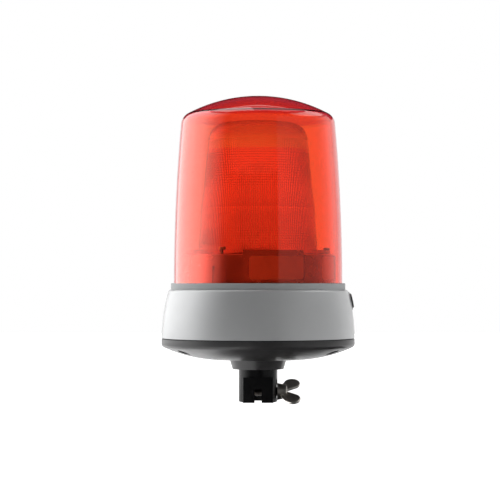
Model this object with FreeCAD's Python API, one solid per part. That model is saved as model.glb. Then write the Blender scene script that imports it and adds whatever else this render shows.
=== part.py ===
import FreeCAD, Part
import math
import os

# Xenon strobe beacon on a spigot socket. Lengths are in millimetres and angles in degrees.
# +Z is up, and the origin is the seat at the top of the socket, where the end of the spigot stops.
# The anti-turn slot faces -Y, and the clamping wing screw and the lens lock screw point along +X.

# Clearances
thread_gap = 0.05          # radial, a screw, pin or plunger in its own hole
turn_gap = 0.3             # between faces that move past each other
hole_gap = 0.3             # radial, a screw shank in a clearance hole
part_gap = 1.0             # between neighbouring electrical parts

# Socket tube
spigot_bore_d = 24.5
tube_wall = 4.45
socket_depth = 26.0
relief_margin = 0.7        # the bore is eased from the mouth to this far above the clamp screw's hole
relief_step = 0.35
tube_crown = 2.2           # tube above the seat, up to the pan's boss
chamber_d = 18.0           # contact chamber above the seat
stem_wall = 4.0
stem_tail = 3.7            # stem above the nut
slot_width = 6.0
slot_height = 11.5
mouth_chamfer = 0.6
face_width = 26.0          # flat-fronted block that holds the slot
face_reach = 17.2          # block's front from the axis
face_drop = 4.5            # block's top below the seat
face_edge_r = 0.8

# Nut and earth tag that hold the tube in the pan
nut_wall = 5.0
nut_height = 7.0
tag_thickness = 1.0
tag_rim = 2.75
tag_tab_width = 7.0
tag_tab_length = 9.0

# Wing screw and its thrust pad
clamp_height = 8.8         # screw axis above the mouth
wing_thread_d = 8.0
wing_shank_length = 20.0
hub_spot_depth = 0.7       # flat on the tube's side under the hub
hub_d = 14.5
hub_tip_d = 12.0
hub_length = 8.6
hub_edge_r = 1.5
wing_lobe_r = 7.0
wing_lobe_out = 13.0       # lobe centre from the hub's face, along the screw
wing_lobe_side = 12.0      # lobe centre from the screw's axis
wing_root_r = 3.4
wing_root_out = 5.0
wing_root_side = 3.0
wing_thickness = 2.6
wing_edge_r = 0.8
wing_lean = 61.0           # rest angle of the wings from upright
pad_d = 6.4
pad_thickness = 1.2
pad_stem_d = 3.0
pad_stem_length = 4.0

# Centre contact
contact_recess = 1.0       # plunger tip above the seat
contact_travel = 2.5
plunger_head_d = 9.0
plunger_head_height = 2.0
plunger_d = 5.0
plunger_tail = 1.6
spring_length = 7.0
spring_wire_d = 0.7
spring_turns = 4
spring_point_count = 24    # points of the coil's path, each turn
bush_wall = 1.4
bush_head_rim = 2.5
bush_head_height = 1.0
insulator_flange = 2.0
clip_thickness = 0.8
clip_groove = 0.4
clip_rim = 1.6

# Base pan
base_d = 166.0
boss_margin = 5.3          # boss tip beyond the tube
boss_taper = 2.4
boss_height = 8.1
dish_land = 7.6            # flat ring round the boss
dish_bow_r = 118.0
pan_edge_r = 3.5
pan_height = 17.7
pan_wall = 3.0
pan_rim_wall = 4.0
base_gasket_thickness = 0.9
gasket_inset = 0.6
gasket_width = 2.9

# Base screws, which clamp the pan, the ring and the electronics cover
base_screw_angles = (90.0, 210.0, 330.0)
base_screw_d = 4.2
base_screw_head_d = 8.8
base_screw_head_height = 3.0
base_boss_d = 15.0
base_boss_bite = 0.5       # boss sunk into the pan's rim wall
recess_gap = 1.0
recess_roof = 5.5          # pan left above a screw recess

# Housing ring
ring_height = 41.4
ring_draw = 6.1            # how far the bowed side leans in at the top
ring_edge_r = 2.5
ring_wall = 2.8
ring_ledge_thickness = 4.0

# Lens seal
seal_land = 0.1
seal_thickness = 2.2
lens_seal_height = 5.5
seal_lip_r = 0.8

# Outer lens
lens_height = 161.0        # apex above the seal
lens_skirt = 16.3          # lens below the ring's top
lens_wall = 3.0
lens_side_bow_r = 1560.0
lens_dome_r = 129.0
lens_shoulder_r = 10.5
lens_foot_gap = 0.5
lug_reach = 2.1
lug_height = 3.4
lug_width = 20.0
lug_angles = (30.0, 150.0, 270.0)
lens_unlock_turn = 27.0
notch_margin = 1.0         # angle left free at each side of a lug in its notch
stop_margin = 0.3
stop_width = 2.0

# Lens lock screw
lock_height = 31.8         # head centre above the ring's foot
lock_tilt = 12.0
lock_head_d = 12.5
lock_head_height = 1.4
lock_head_edge_r = 0.7
lock_slot_width = 1.6
lock_slot_depth = 0.8
lock_thread_d = 5.0
lock_land_rise = 0.5
lock_land_margin = 1.6
lock_boss_wall = 3.0
lock_boss_clear = 1.5

# Electronics cover
cover_gap = 2.9            # drum to lens
cover_wall = 2.5
cover_height = 46.8        # drum above its flange
cover_flange_thickness = 3.0
cover_flange_gap = 0.4
cover_edge_r = 1.2
tab_angle = -78.3
tab_width = 44.6
tab_height = 2.9
panel_depth = 0.8
panel_foot = 24.8          # panels above the drum's flange
panel_border = 0.3         # panels below the drum's rounded edge
wide_panel_angle = -76.1
wide_panel_width = 42.0
narrow_panel_angle = -24.0
narrow_panel_width = 28.0
block_angle = -131.8
block_width = 17.2
block_rise = 1.4
block_height = 36.7
step_width = 10.1          # lower step beside the block
step_rise = 0.8
step_drop = 3.1

# Drum optic
optic_inset = 4.5          # flange inside the cover's edge
optic_flange_width = 11.0
optic_flange_thickness = 3.4
optic_height = 110.0       # top above the flange
optic_wall = 3.2
optic_draw = 8.3           # taper of the wall, foot to crown
optic_crown_r = 15.5
prism_pitch = 2.15
prism_depth = 0.9
lower_prisms = 7
upper_prisms = 14
lower_plain = 3.3          # plain wall between flange and lower prisms
belt_height = 36.1
belt_bulge = 1.0
seam_width = 1.0           # parting line round the middle of the belt
seam_depth = 0.5
flute_count = 144
flute_depth = 0.5
flute_skin = 0.1           # flutes cut this far into the wall all round
optic_screw_edge = 3.2
optic_screw_angles = (0.0, 120.0, 240.0)
optic_screw_d = 3.0
optic_screw_head_d = 6.0
optic_screw_head_height = 2.6
optic_screw_bite = 2.0

# Flash tube, lamp socket and reflector
lamp_flange_d = 36.0
lamp_flange_height = 3.0
lamp_body_d = 28.0
lamp_body_depth = 9.0
leg_spacing = 18.0
flash_tube_d = 7.0
flash_tube_wall = 1.0
flash_tube_straight = 58.0
leg_sink = 5.0             # leg below the top of the socket
electrode_length = 12.0
pin_d = 1.6
trigger_band_wall = 0.4
trigger_band_height = 1.0
trigger_band_pitch = 18.0
trigger_bands = 3
reflector_thickness = 0.8

# Circuit board and what stands on it
board_gap = 4.5            # board edge to the ring's bosses
board_thickness = 1.6
post_inset = 10.0          # posts in from the board's edge
post_d = 7.0
post_angles = (45.0, 135.0, 225.0, 315.0)
board_screw_d = 3.0
board_screw_head_d = 5.6
board_screw_head_height = 2.2
board_screw_length = 8.0
lane_half = 11.0           # half of the clear lane between capacitors and transformer
capacitor_d = 25.0
capacitor_height = 45.0
capacitor_edge_r = 1.5
core_length = 34.0
core_depth = 26.0
core_height = 26.0
core_limb = 6.0
core_middle = 10.0
winding_bulge = 4.0
coil_d = 14.0
coil_height = 20.0
coil_cheek = 1.5
coil_waist = 1.0
coil_setback = 22.0
terminal_width = 16.0
terminal_depth = 10.0
terminal_height = 10.0
terminal_setback = 16.0
terminal_well_d = 4.0
terminal_well_depth = 5.0
sink_width = 30.0
sink_depth = 14.0
sink_height = 30.0
sink_base = 3.0
sink_fins = 6
sink_fin_thickness = 1.6
sink_inset = 22.0          # transistor's face from the board's edge
transistor_width = 10.0
transistor_thickness = 3.5
transistor_height = 15.0
lead_d = 2.0
lead_bend_r = 4.0
lead_jog = 3.0

# Radii that follow
bore_r = spigot_bore_d / 2
tube_r = bore_r + tube_wall
chamber_r = chamber_d / 2
stem_r = chamber_r + stem_wall
nut_flat_r = stem_r + nut_wall
tag_r = nut_flat_r + tag_rim
boss_tip_r = tube_r + boss_margin
boss_root_r = boss_tip_r + boss_taper
dish_flat_r = boss_root_r + dish_land
base_r = base_d / 2
pan_inner_r = base_r - pan_rim_wall
base_boss_r = base_boss_d / 2
base_screw_circle = pan_inner_r + base_boss_bite - base_boss_r
board_r = base_screw_circle - base_boss_r - board_gap
post_circle = board_r - post_inset
plunger_r = plunger_d / 2
bush_r = plunger_r + thread_gap + bush_wall
bush_head_r = bush_r + bush_head_rim
flash_tube_r = flash_tube_d / 2

# Heights that follow
z_mouth = -socket_depth
z_clamp = z_mouth + clamp_height
z_relief = z_clamp + wing_thread_d / 2 + relief_margin
z_boss = tube_crown
z_dish = z_boss + boss_height
z_floor = z_dish + pan_wall
z_nut = z_floor + tag_thickness
z_stem_top = z_nut + nut_height + stem_tail
z_insulator = contact_recess + plunger_head_height + spring_length
z_insulator_top = z_stem_top + insulator_flange
z_bush_top = z_insulator_top + bush_head_height
z_clip = z_bush_top + thread_gap
z_clip_top = z_clip + clip_thickness
z_plunger_top = z_clip_top + plunger_tail
z_board = z_plunger_top + contact_travel + part_gap
z_board_top = z_board + board_thickness
z_pan_top = z_dish + pan_height
z_recess = z_pan_top - recess_roof
z_ring = z_pan_top + base_gasket_thickness
z_ring_top = z_ring + ring_height
z_ledge = z_ring_top - ring_ledge_thickness
z_seal_top = z_ring_top + lens_seal_height
z_apex = z_seal_top + lens_height
z_lens_foot = z_ring_top - lens_skirt
z_lug_top = z_ledge - turn_gap
z_lug = z_lug_top - lug_height
z_flange_top = z_lens_foot - lens_foot_gap
z_flange = z_flange_top - cover_flange_thickness
z_cover_top = z_flange_top + cover_height
z_lamp_foot = z_cover_top - lamp_body_depth
z_lamp_top = z_cover_top + lamp_flange_height
z_leg_foot = z_lamp_top - leg_sink
z_bend = z_lamp_top + flash_tube_straight
z_optic_wall = z_cover_top + optic_flange_thickness
z_optic_top = z_optic_wall + optic_height
z_crown = z_optic_top - optic_crown_r

# The ring's bowed side is an arc that stands upright at its foot, and a small arc rounds its top edge.
ring_bow_r = (ring_height ** 2 + ring_draw ** 2) / (2 * ring_draw)
ring_bow = (base_r - ring_bow_r, z_ring)
ring_edge_x = ring_bow[0] + math.sqrt((ring_bow_r - ring_edge_r) ** 2 - (ring_height - ring_edge_r) ** 2)
ring_edge = (ring_edge_x, z_ring_top - ring_edge_r)

# Seal, lens, cover and optic stand inside one another from the ring's top edge inwards.
seal_outer_r = ring_edge_x - seal_land
seal_inner_r = seal_outer_r - seal_thickness
lens_r = seal_inner_r - turn_gap
ledge_r = lens_r + turn_gap
lug_r = lens_r + lug_reach
notch_r = lug_r + turn_gap
cover_r = lens_r - lens_wall - cover_gap
optic_flange_r = cover_r - optic_inset
optic_foot_r = optic_flange_r - optic_flange_width
optic_crown_foot_r = optic_foot_r - optic_draw
optic_screw_circle = optic_flange_r - optic_screw_edge

# Lock screw: its seat on the ring, and how far the lens is from that seat along its axis
z_lock = z_ring + lock_height
lock_seat_r = ring_bow[0] + math.sqrt(ring_bow_r ** 2 - lock_height ** 2) + lock_land_rise
lock_reach = (lock_seat_r - lens_r) / math.cos(math.radians(lock_tilt))

ORIGIN = FreeCAD.Vector(0, 0, 0)
ALONG_Y = FreeCAD.Vector(0, 1, 0)
UP = FreeCAD.Vector(0, 0, 1)


def polar(radius, angle, z=0.0):
    """Point at a radius and an angle round the beacon's axis."""
    turn = math.radians(angle)
    return FreeCAD.Vector(radius * math.cos(turn), radius * math.sin(turn), z)


def on_circle(radius, angles):
    """Points on a circle about the axis."""
    return [polar(radius, angle) for angle in angles]


def toward(centre, point, distance):
    """Point at a distance from a centre, on the way to another point; all are (x, z) pairs."""
    dx = point[0] - centre[0]
    dz = point[1] - centre[1]
    length = math.hypot(dx, dz)
    return (centre[0] + dx / length * distance, centre[1] + dz / length * distance)


def circles_meet(first, first_r, second, second_r):
    """Upper crossing point of two circles; centres and points are (x, z) pairs."""
    dx = second[0] - first[0]
    dz = second[1] - first[1]
    span = math.hypot(dx, dz)
    along = (first_r ** 2 - second_r ** 2 + span ** 2) / (2 * span)
    aside = math.sqrt(first_r ** 2 - along ** 2)
    middle = (first[0] + along * dx / span, first[1] + along * dz / span)
    step = (aside * dz / span, -aside * dx / span)
    crossings = [(middle[0] + way * step[0], middle[1] + way * step[1]) for way in (1, -1)]
    return max(crossings, key=lambda point: point[1])


def ring_side_r(z, inset):
    """Radius at a height of a surface inset from the ring's bowed side."""
    return ring_bow[0] + math.sqrt((ring_bow_r - inset) ** 2 - (z - z_ring) ** 2)


class Outline:
    """Closed outline of straight runs and arcs in the XZ plane."""

    def __init__(self, x, z):
        self.start = FreeCAD.Vector(x, 0, z)
        self.last = self.start
        self.edges = []

    def line(self, x, z):
        """Straight run to a point."""
        end = FreeCAD.Vector(x, 0, z)
        self.edges.append(Part.LineSegment(self.last, end).toShape())
        self.last = end
        return self

    def bow(self, through_x, through_z, x, z):
        """Arc through one point to another."""
        end = FreeCAD.Vector(x, 0, z)
        through = FreeCAD.Vector(through_x, 0, through_z)
        self.edges.append(Part.Arc(self.last, through, end).toShape())
        self.last = end
        return self

    def arc(self, centre, x, z):
        """Arc, the short way round a centre, to a point."""
        middle = FreeCAD.Vector(centre[0], 0, centre[1])
        end = FreeCAD.Vector(x, 0, z)
        out = (self.last - middle) + (end - middle)
        through = middle + out.normalize() * (end - middle).Length
        return self.bow(through.x, through.z, x, z)

    def face(self):
        """Flat face inside the outline, closed back to its first point."""
        if not self.last.isEqual(self.start, 1e-6):
            self.line(self.start.x, self.start.z)
        return Part.Face(Part.Wire(self.edges))

    def turned(self, angle=360.0):
        """Solid of revolution about the upright axis."""
        return self.face().revolve(ORIGIN, UP, angle)


def cylinder(radius, low, high, place=ORIGIN):
    """Upright cylinder between two heights, over a place in plan."""
    return Part.makeCylinder(radius, high - low, FreeCAD.Vector(place.x, place.y, low), UP)


def tube(inner, outer, low, high, place=ORIGIN):
    """Upright tube between two heights, over a place in plan."""
    return cylinder(outer, low, high, place).cut(cylinder(inner, low, high, place))


def box(width, depth, low, high, x=0.0, y=0.0):
    """Upright box centred on a point in plan."""
    return Part.makeBox(width, depth, high - low, FreeCAD.Vector(x - width / 2, y - depth / 2, low))


def sector(inner, outer, low, high, angle, width):
    """Piece of a tube, a width of angle about a middle angle."""
    piece = Outline(inner, low).line(outer, low).line(outer, high).line(inner, high).turned(width)
    piece.rotate(ORIGIN, UP, angle - width / 2)
    return piece


def joined(first, others):
    """One solid from a shape and the pieces moulded on it."""
    return first.fuse(others).removeSplitter()


def round_headed(diameter, low, high, head_d, head_height, edge_r):
    """Upright screw with its head above the high end of its shank."""
    head_r = head_d / 2
    top = high + head_height
    head = Outline(0, high).line(head_r, high).line(head_r, top - edge_r)
    head.arc((head_r - edge_r, top - edge_r), head_r - edge_r, top)
    return joined(head.line(0, top).turned(), [cylinder(diameter / 2, low, high)])


def lead(points):
    """Insulated lead along points, with straight runs and tangent arcs."""
    edges = []
    last = points[0]
    for before, corner, after in zip(points, points[1:], points[2:]):
        back = (before - corner).normalize()
        ahead = (after - corner).normalize()
        half = math.acos(back.dot(ahead)) / 2
        enter = corner + back * (lead_bend_r / math.tan(half))
        leave = corner + ahead * (lead_bend_r / math.tan(half))
        inward = (back + ahead).normalize()
        crest = corner + inward * (lead_bend_r / math.sin(half) - lead_bend_r)
        edges.append(Part.LineSegment(last, enter).toShape())
        edges.append(Part.Arc(enter, crest, leave).toShape())
        last = leave
    edges.append(Part.LineSegment(last, points[-1]).toShape())
    section = Part.Wire(Part.makeCircle(lead_d / 2, points[0], points[1] - points[0]))
    return Part.Wire(edges).makePipeShell([section], True, False)


def socket_face():
    """Flat-fronted block on the tube, with its front corners rounded."""
    block = box(face_width, face_reach, z_mouth, -face_drop, 0, -face_reach / 2)
    corners = [
        edge for edge in block.Edges
        if abs(edge.CenterOfMass.x) > face_width / 4 and edge.CenterOfMass.y < -0.9 * face_reach
        and abs(edge.CenterOfMass.z - (z_mouth - face_drop) / 2) < face_edge_r
    ]
    return block.makeFillet(face_edge_r, corners).cut(cylinder(bore_r + tube_wall / 2, z_mouth, 0))


def make_socket_tube():
    """Tube with its bore, eased mouth, slotted front, clamp screw hole and stem through the pan."""
    eased_r = bore_r + relief_step
    profile = Outline(eased_r + mouth_chamfer, z_mouth)
    profile.line(tube_r - mouth_chamfer, z_mouth).line(tube_r, z_mouth + mouth_chamfer)
    profile.line(tube_r, z_boss).line(stem_r, z_boss)
    profile.line(stem_r, z_stem_top - mouth_chamfer).line(stem_r - mouth_chamfer, z_stem_top)
    profile.line(chamber_r, z_stem_top).line(chamber_r, 0).line(bore_r, 0).line(bore_r, z_relief)
    profile.line(eased_r, z_relief).line(eased_r, z_mouth + mouth_chamfer)
    slot = box(slot_width, face_reach, z_mouth, z_mouth + slot_height, 0, -face_reach / 2)
    hole = on_clamp_axis(cylinder(wing_thread_d / 2 + thread_gap, -tube_r, 0))
    spot = on_clamp_axis(cylinder(hub_d / 2 + turn_gap, -turn_gap, hub_spot_depth))
    return joined(profile.turned(), [socket_face()]).cut([slot, hole, spot])


def make_socket_nut():
    """Hexagon nut on the tube's stem."""
    corner_r = nut_flat_r / math.cos(math.pi / 6)
    corners = [polar(corner_r, 60 * step, z_nut) for step in range(7)]
    body = Part.Face(Part.makePolygon(corners)).extrude(UP * nut_height)
    return body.cut(cylinder(stem_r + thread_gap, z_nut, z_nut + nut_height))


def make_earth_tag():
    """Washer with a solder tab, clamped under the nut."""
    tab_length = tag_r + tag_tab_length - nut_flat_r
    tab = box(tab_length, tag_tab_width, z_floor, z_nut, -nut_flat_r - tab_length / 2)
    return joined(tube(stem_r + hole_gap, tag_r, z_floor, z_nut), [tab])


def make_contact_insulator():
    """Moulded plug that closes the contact chamber and carries the bush."""
    hole_r = bush_r + thread_gap
    plug_r = chamber_r - thread_gap
    rim_r = stem_r - mouth_chamfer
    profile = Outline(hole_r, z_insulator).line(plug_r, z_insulator).line(plug_r, z_stem_top)
    profile.line(rim_r, z_stem_top).line(rim_r, z_insulator_top).line(hole_r, z_insulator_top)
    return profile.turned()


def make_contact_bush():
    """Headed brass bush in which the plunger slides."""
    hole_r = plunger_r + thread_gap
    profile = Outline(hole_r, z_insulator).line(bush_r, z_insulator).line(bush_r, z_insulator_top)
    profile.line(bush_head_r, z_insulator_top).line(bush_head_r, z_bush_top).line(hole_r, z_bush_top)
    return profile.turned()


def make_contact_plunger():
    """Plunger with a crowned head below and a groove for its clip above."""
    crown = plunger_head_height / 2
    head_r = plunger_head_d / 2
    head_top = contact_recess + plunger_head_height
    profile = Outline(0, contact_recess).line(head_r - crown, contact_recess)
    profile.arc((head_r - crown, contact_recess + crown), head_r, contact_recess + crown)
    profile.line(head_r, head_top).line(plunger_r, head_top).line(plunger_r, z_clip)
    profile.line(plunger_r - clip_groove, z_clip).line(plunger_r - clip_groove, z_clip_top)
    profile.line(plunger_r, z_clip_top).line(plunger_r, z_plunger_top)
    return profile.line(0, z_plunger_top).turned()


def make_contact_clip():
    """Open clip in the plunger's groove, which stops it on the bush."""
    inner = plunger_r - clip_groove
    outer = plunger_r + clip_rim
    ring = tube(inner, outer, z_clip, z_clip_top)
    return ring.cut(box(inner, outer, z_clip, z_clip_top, 0, -outer / 2))


def make_contact_spring():
    """Coil between the plunger's head and the bush."""
    coil_r = plunger_r + turn_gap + spring_wire_d / 2
    low = contact_recess + plunger_head_height + spring_wire_d / 2
    height = spring_length - spring_wire_d
    steps = spring_turns * spring_point_count
    points = [
        polar(coil_r, 360.0 * step / spring_point_count, low + height * step / steps)
        for step in range(steps + 1)
    ]
    curve = Part.BSplineCurve()
    curve.interpolate(points)
    path = curve.toShape()
    heading = path.tangentAt(path.FirstParameter)
    section = Part.Wire(Part.makeCircle(spring_wire_d / 2, points[0], heading))
    return Part.Wire([path]).makePipeShell([section], True, True)


def on_clamp_axis(shape):
    """Shape drawn upright, laid along +X so that its zero height is the hub's face."""
    shape.rotate(ORIGIN, ALONG_Y, 90)
    shape.translate(FreeCAD.Vector(tube_r - hub_spot_depth + turn_gap, 0, z_clamp))
    return shape


def wing_lobe(side):
    """One wing: a round lobe linked to a smaller root by tangent lines, beside an upright screw."""
    lobe = (side * wing_lobe_side, wing_lobe_out)
    root = (side * wing_root_side, wing_root_out)
    heading = math.atan2(lobe[1] - root[1], lobe[0] - root[0])
    spread = math.acos((wing_root_r - wing_lobe_r) / math.hypot(lobe[0] - root[0], lobe[1] - root[1]))

    def rim(centre, radius, angle):
        """Point of a circle at an angle."""
        return (centre[0] + radius * math.cos(angle), centre[1] + radius * math.sin(angle))

    start = rim(root, wing_root_r, heading + spread)
    outline = Outline(*start).line(*rim(lobe, wing_lobe_r, heading + spread))
    outline.arc(lobe, *rim(lobe, wing_lobe_r, heading)).arc(lobe, *rim(lobe, wing_lobe_r, heading - spread))
    outline.line(*rim(root, wing_root_r, heading - spread))
    outline.bow(*rim(root, wing_root_r, heading + math.pi), *start)
    face = outline.face()
    face.translate(ALONG_Y * (-wing_thickness / 2))
    plate = face.extrude(ALONG_Y * wing_thickness)
    rims = [edge for edge in plate.Edges if abs(abs(edge.CenterOfMass.y) - wing_thickness / 2) < 1e-6]
    return plate.makeFillet(min(wing_edge_r, wing_thickness / 3), rims)


def make_wing_screw():
    """Wing screw at its clamped place, with a pocket in its tip for the thrust pad's stem."""
    tip = pad_thickness - wing_shank_length
    hub_tip_r = hub_tip_d / 2
    hub = Outline(0, 0).line(hub_d / 2, 0).line(hub_tip_r, hub_length - hub_edge_r)
    hub.arc((hub_tip_r - hub_edge_r, hub_length - hub_edge_r), hub_tip_r - hub_edge_r, hub_length)
    shank = cylinder(wing_thread_d / 2, tip, 0)
    screw = joined(hub.line(0, hub_length).turned(), [shank, wing_lobe(1), wing_lobe(-1)])
    screw = screw.cut(cylinder(pad_stem_d / 2 + thread_gap, tip, tip + pad_stem_length))
    screw.rotate(ORIGIN, UP, -wing_lean)
    return on_clamp_axis(screw)


def make_thrust_pad():
    """Pad that presses on the spigot while the screw turns on its stem."""
    low = -wing_shank_length
    face = cylinder(pad_d / 2, low, low + pad_thickness - thread_gap)
    stem = cylinder(pad_stem_d / 2, low, low + pad_thickness + pad_stem_length - turn_gap)
    return on_clamp_axis(joined(face, [stem]))


def floor_fill(top, reach):
    """Space above the middle of the pan's dished floor, out to a radius and up to a height."""
    bow = (dish_flat_r, z_dish + dish_bow_r)
    radius = dish_bow_r - pan_wall / 2
    edge_z = bow[1] - math.sqrt(radius ** 2 - (reach - bow[0]) ** 2)
    outline = Outline(0, bow[1] - radius).line(dish_flat_r, bow[1] - radius).arc(bow, reach, edge_z)
    return outline.line(reach, top).line(0, top).turned()


def make_base_pan():
    """Dished pan with a tapered boss, a rim, screw bosses with recesses, and the board's posts."""
    bow = (dish_flat_r, z_dish + dish_bow_r)
    edge_r = base_r - pan_edge_r
    edge = (edge_r, bow[1] - math.sqrt((dish_bow_r - pan_edge_r) ** 2 - (edge_r - dish_flat_r) ** 2))
    wall_foot = bow[1] - math.sqrt((dish_bow_r - pan_wall) ** 2 - (pan_inner_r - dish_flat_r) ** 2)
    hole_r = stem_r + hole_gap
    profile = Outline(hole_r, z_boss).line(boss_tip_r, z_boss).line(boss_root_r, z_dish)
    profile.line(dish_flat_r, z_dish).arc(bow, *toward(bow, edge, dish_bow_r))
    profile.arc(edge, base_r, edge[1]).line(base_r, z_pan_top).line(pan_inner_r, z_pan_top)
    profile.line(pan_inner_r, wall_foot).arc(bow, dish_flat_r, z_floor).line(hole_r, z_floor)
    screws = on_circle(base_screw_circle, base_screw_angles)
    posts = on_circle(post_circle, post_angles)
    boss_room = floor_fill(z_pan_top, pan_inner_r + base_boss_bite)
    post_room = floor_fill(z_board, pan_inner_r)
    moulded = [cylinder(base_boss_r, z_boss, z_pan_top, place).common(boss_room) for place in screws]
    moulded += [cylinder(post_d / 2, z_boss, z_board, place).common(post_room) for place in posts]
    recess_r = base_screw_head_d / 2 + recess_gap
    pilot_r = board_screw_d / 2 + thread_gap
    cuts = [cylinder(recess_r, z_boss, z_recess, place) for place in screws]
    cuts += [cylinder(base_screw_d / 2 + hole_gap, z_recess, z_pan_top, place) for place in screws]
    cuts += [cylinder(pilot_r, z_board_top - board_screw_length, z_board, place) for place in posts]
    return joined(profile.turned(), moulded).cut(cuts)


def make_base_gasket():
    """Flat gasket between the pan's rim and the ring."""
    outer = base_r - gasket_inset
    return tube(outer - gasket_width, outer, z_pan_top, z_ring)


def make_base_screws():
    """Three long screws, up from the pan's recesses into the cover's flange."""
    screws = []
    for place in on_circle(base_screw_circle, base_screw_angles):
        screw = round_headed(
            base_screw_d, -z_flange_top, -z_recess, base_screw_head_d, base_screw_head_height,
            base_screw_head_height / 3,
        )
        screw.rotate(ORIGIN, ALONG_Y, 180)
        screw.translate(place)
        screws.append(screw)
    return Part.makeCompound(screws)


def on_lock_axis(shape):
    """Shape drawn upright, laid along the lock screw's tilted axis with its zero height at the seat."""
    shape.rotate(ORIGIN, ALONG_Y, 90 - lock_tilt)
    shape.translate(FreeCAD.Vector(lock_seat_r, 0, z_lock))
    return shape


def make_housing_ring():
    """Bowed ring with a ledge over the lens's lugs, their notches and stops, and the screws' bosses."""
    foot_r = ring_side_r(z_ring, ring_wall)
    profile = Outline(foot_r, z_ring).line(base_r, z_ring)
    profile.arc(ring_bow, *toward(ring_bow, ring_edge, ring_bow_r)).arc(ring_edge, ring_edge_x, z_ring_top)
    profile.line(ledge_r, z_ring_top).line(ledge_r, z_ledge).line(ring_side_r(z_ledge, ring_wall), z_ledge)
    ring = profile.arc(ring_bow, foot_r, z_ring).turned()
    screws = on_circle(base_screw_circle, base_screw_angles)
    lens_room = cylinder(lens_r + 2 * turn_gap, z_flange, z_ledge)
    lock_boss = on_lock_axis(cylinder(lock_thread_d / 2 + lock_boss_wall, lock_boss_clear - lock_reach, 0))
    moulded = [cylinder(base_boss_r, z_ring, z_flange, place) for place in screws]
    moulded.append(on_lock_axis(cylinder(lock_head_d / 2 + lock_land_margin, -ring_wall, 0)))
    moulded.append(lock_boss.cut(lens_room))
    stop_r = ring_side_r(z_ledge, ring_wall / 2)
    half_way = lug_width / 2 + stop_margin + stop_width / 2
    for angle in lug_angles:
        for place in (angle - half_way, angle + lens_unlock_turn + half_way):
            moulded.append(sector(ledge_r, stop_r, z_lug, z_ledge, place, stop_width))
    cuts = [cylinder(base_screw_d / 2 + hole_gap, z_ring, z_flange, place) for place in screws]
    cuts.append(on_lock_axis(cylinder(lock_thread_d / 2 + thread_gap, -lock_reach, lock_head_height)))
    notch_width = lug_width + 2 * notch_margin
    for angle in lug_angles:
        place = angle + lens_unlock_turn
        cuts.append(sector(ledge_r - turn_gap, notch_r, z_ledge, z_ring_top, place, notch_width))
    return joined(ring, moulded).cut(cuts)


def make_lens_seal():
    """Soft collar on the ring, round the foot of the lens."""
    profile = Outline(seal_inner_r, z_ring_top).line(seal_outer_r, z_ring_top)
    profile.line(seal_outer_r, z_seal_top - seal_lip_r)
    profile.arc((seal_outer_r - seal_lip_r, z_seal_top - seal_lip_r), seal_outer_r - seal_lip_r, z_seal_top)
    return profile.line(seal_inner_r, z_seal_top).turned()


def make_lens():
    """Outer lens: a bowed side, a rounded shoulder and a shallow dome of one wall, with twist lugs."""
    side = (lens_r - lens_side_bow_r, z_seal_top)
    dome = (0.0, z_apex - lens_dome_r)
    shoulder = circles_meet(side, lens_side_bow_r - lens_shoulder_r, dome, lens_dome_r - lens_shoulder_r)
    inner_r = lens_r - lens_wall
    profile = Outline(inner_r, z_lens_foot).line(lens_r, z_lens_foot).line(lens_r, z_seal_top)
    profile.arc(side, *toward(side, shoulder, lens_side_bow_r))
    profile.arc(shoulder, *toward(dome, shoulder, lens_dome_r))
    profile.arc(dome, 0, z_apex).line(0, z_apex - lens_wall)
    profile.arc(dome, *toward(dome, shoulder, lens_dome_r - lens_wall))
    profile.arc(shoulder, *toward(side, shoulder, lens_side_bow_r - lens_wall))
    profile.arc(side, inner_r, z_seal_top)
    root_r = lens_r - lens_wall / 2
    lugs = [sector(root_r, lug_r, z_lug, z_lug_top, angle, lug_width) for angle in lug_angles]
    return joined(profile.turned(), lugs)


def make_lock_screw():
    """Slotted lock screw whose round nose stands just off the lens."""
    nose_r = lock_thread_d / 2
    nose = (turn_gap + nose_r) / math.cos(math.radians(lock_tilt)) - lock_reach
    screw = round_headed(lock_thread_d, nose, 0, lock_head_d, lock_head_height, lock_head_edge_r)
    slot = box(lock_head_d, lock_slot_width, lock_head_height - lock_slot_depth, lock_head_height)
    return on_lock_axis(joined(screw.cut(slot), [Part.makeSphere(nose_r, UP * nose)]))


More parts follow.
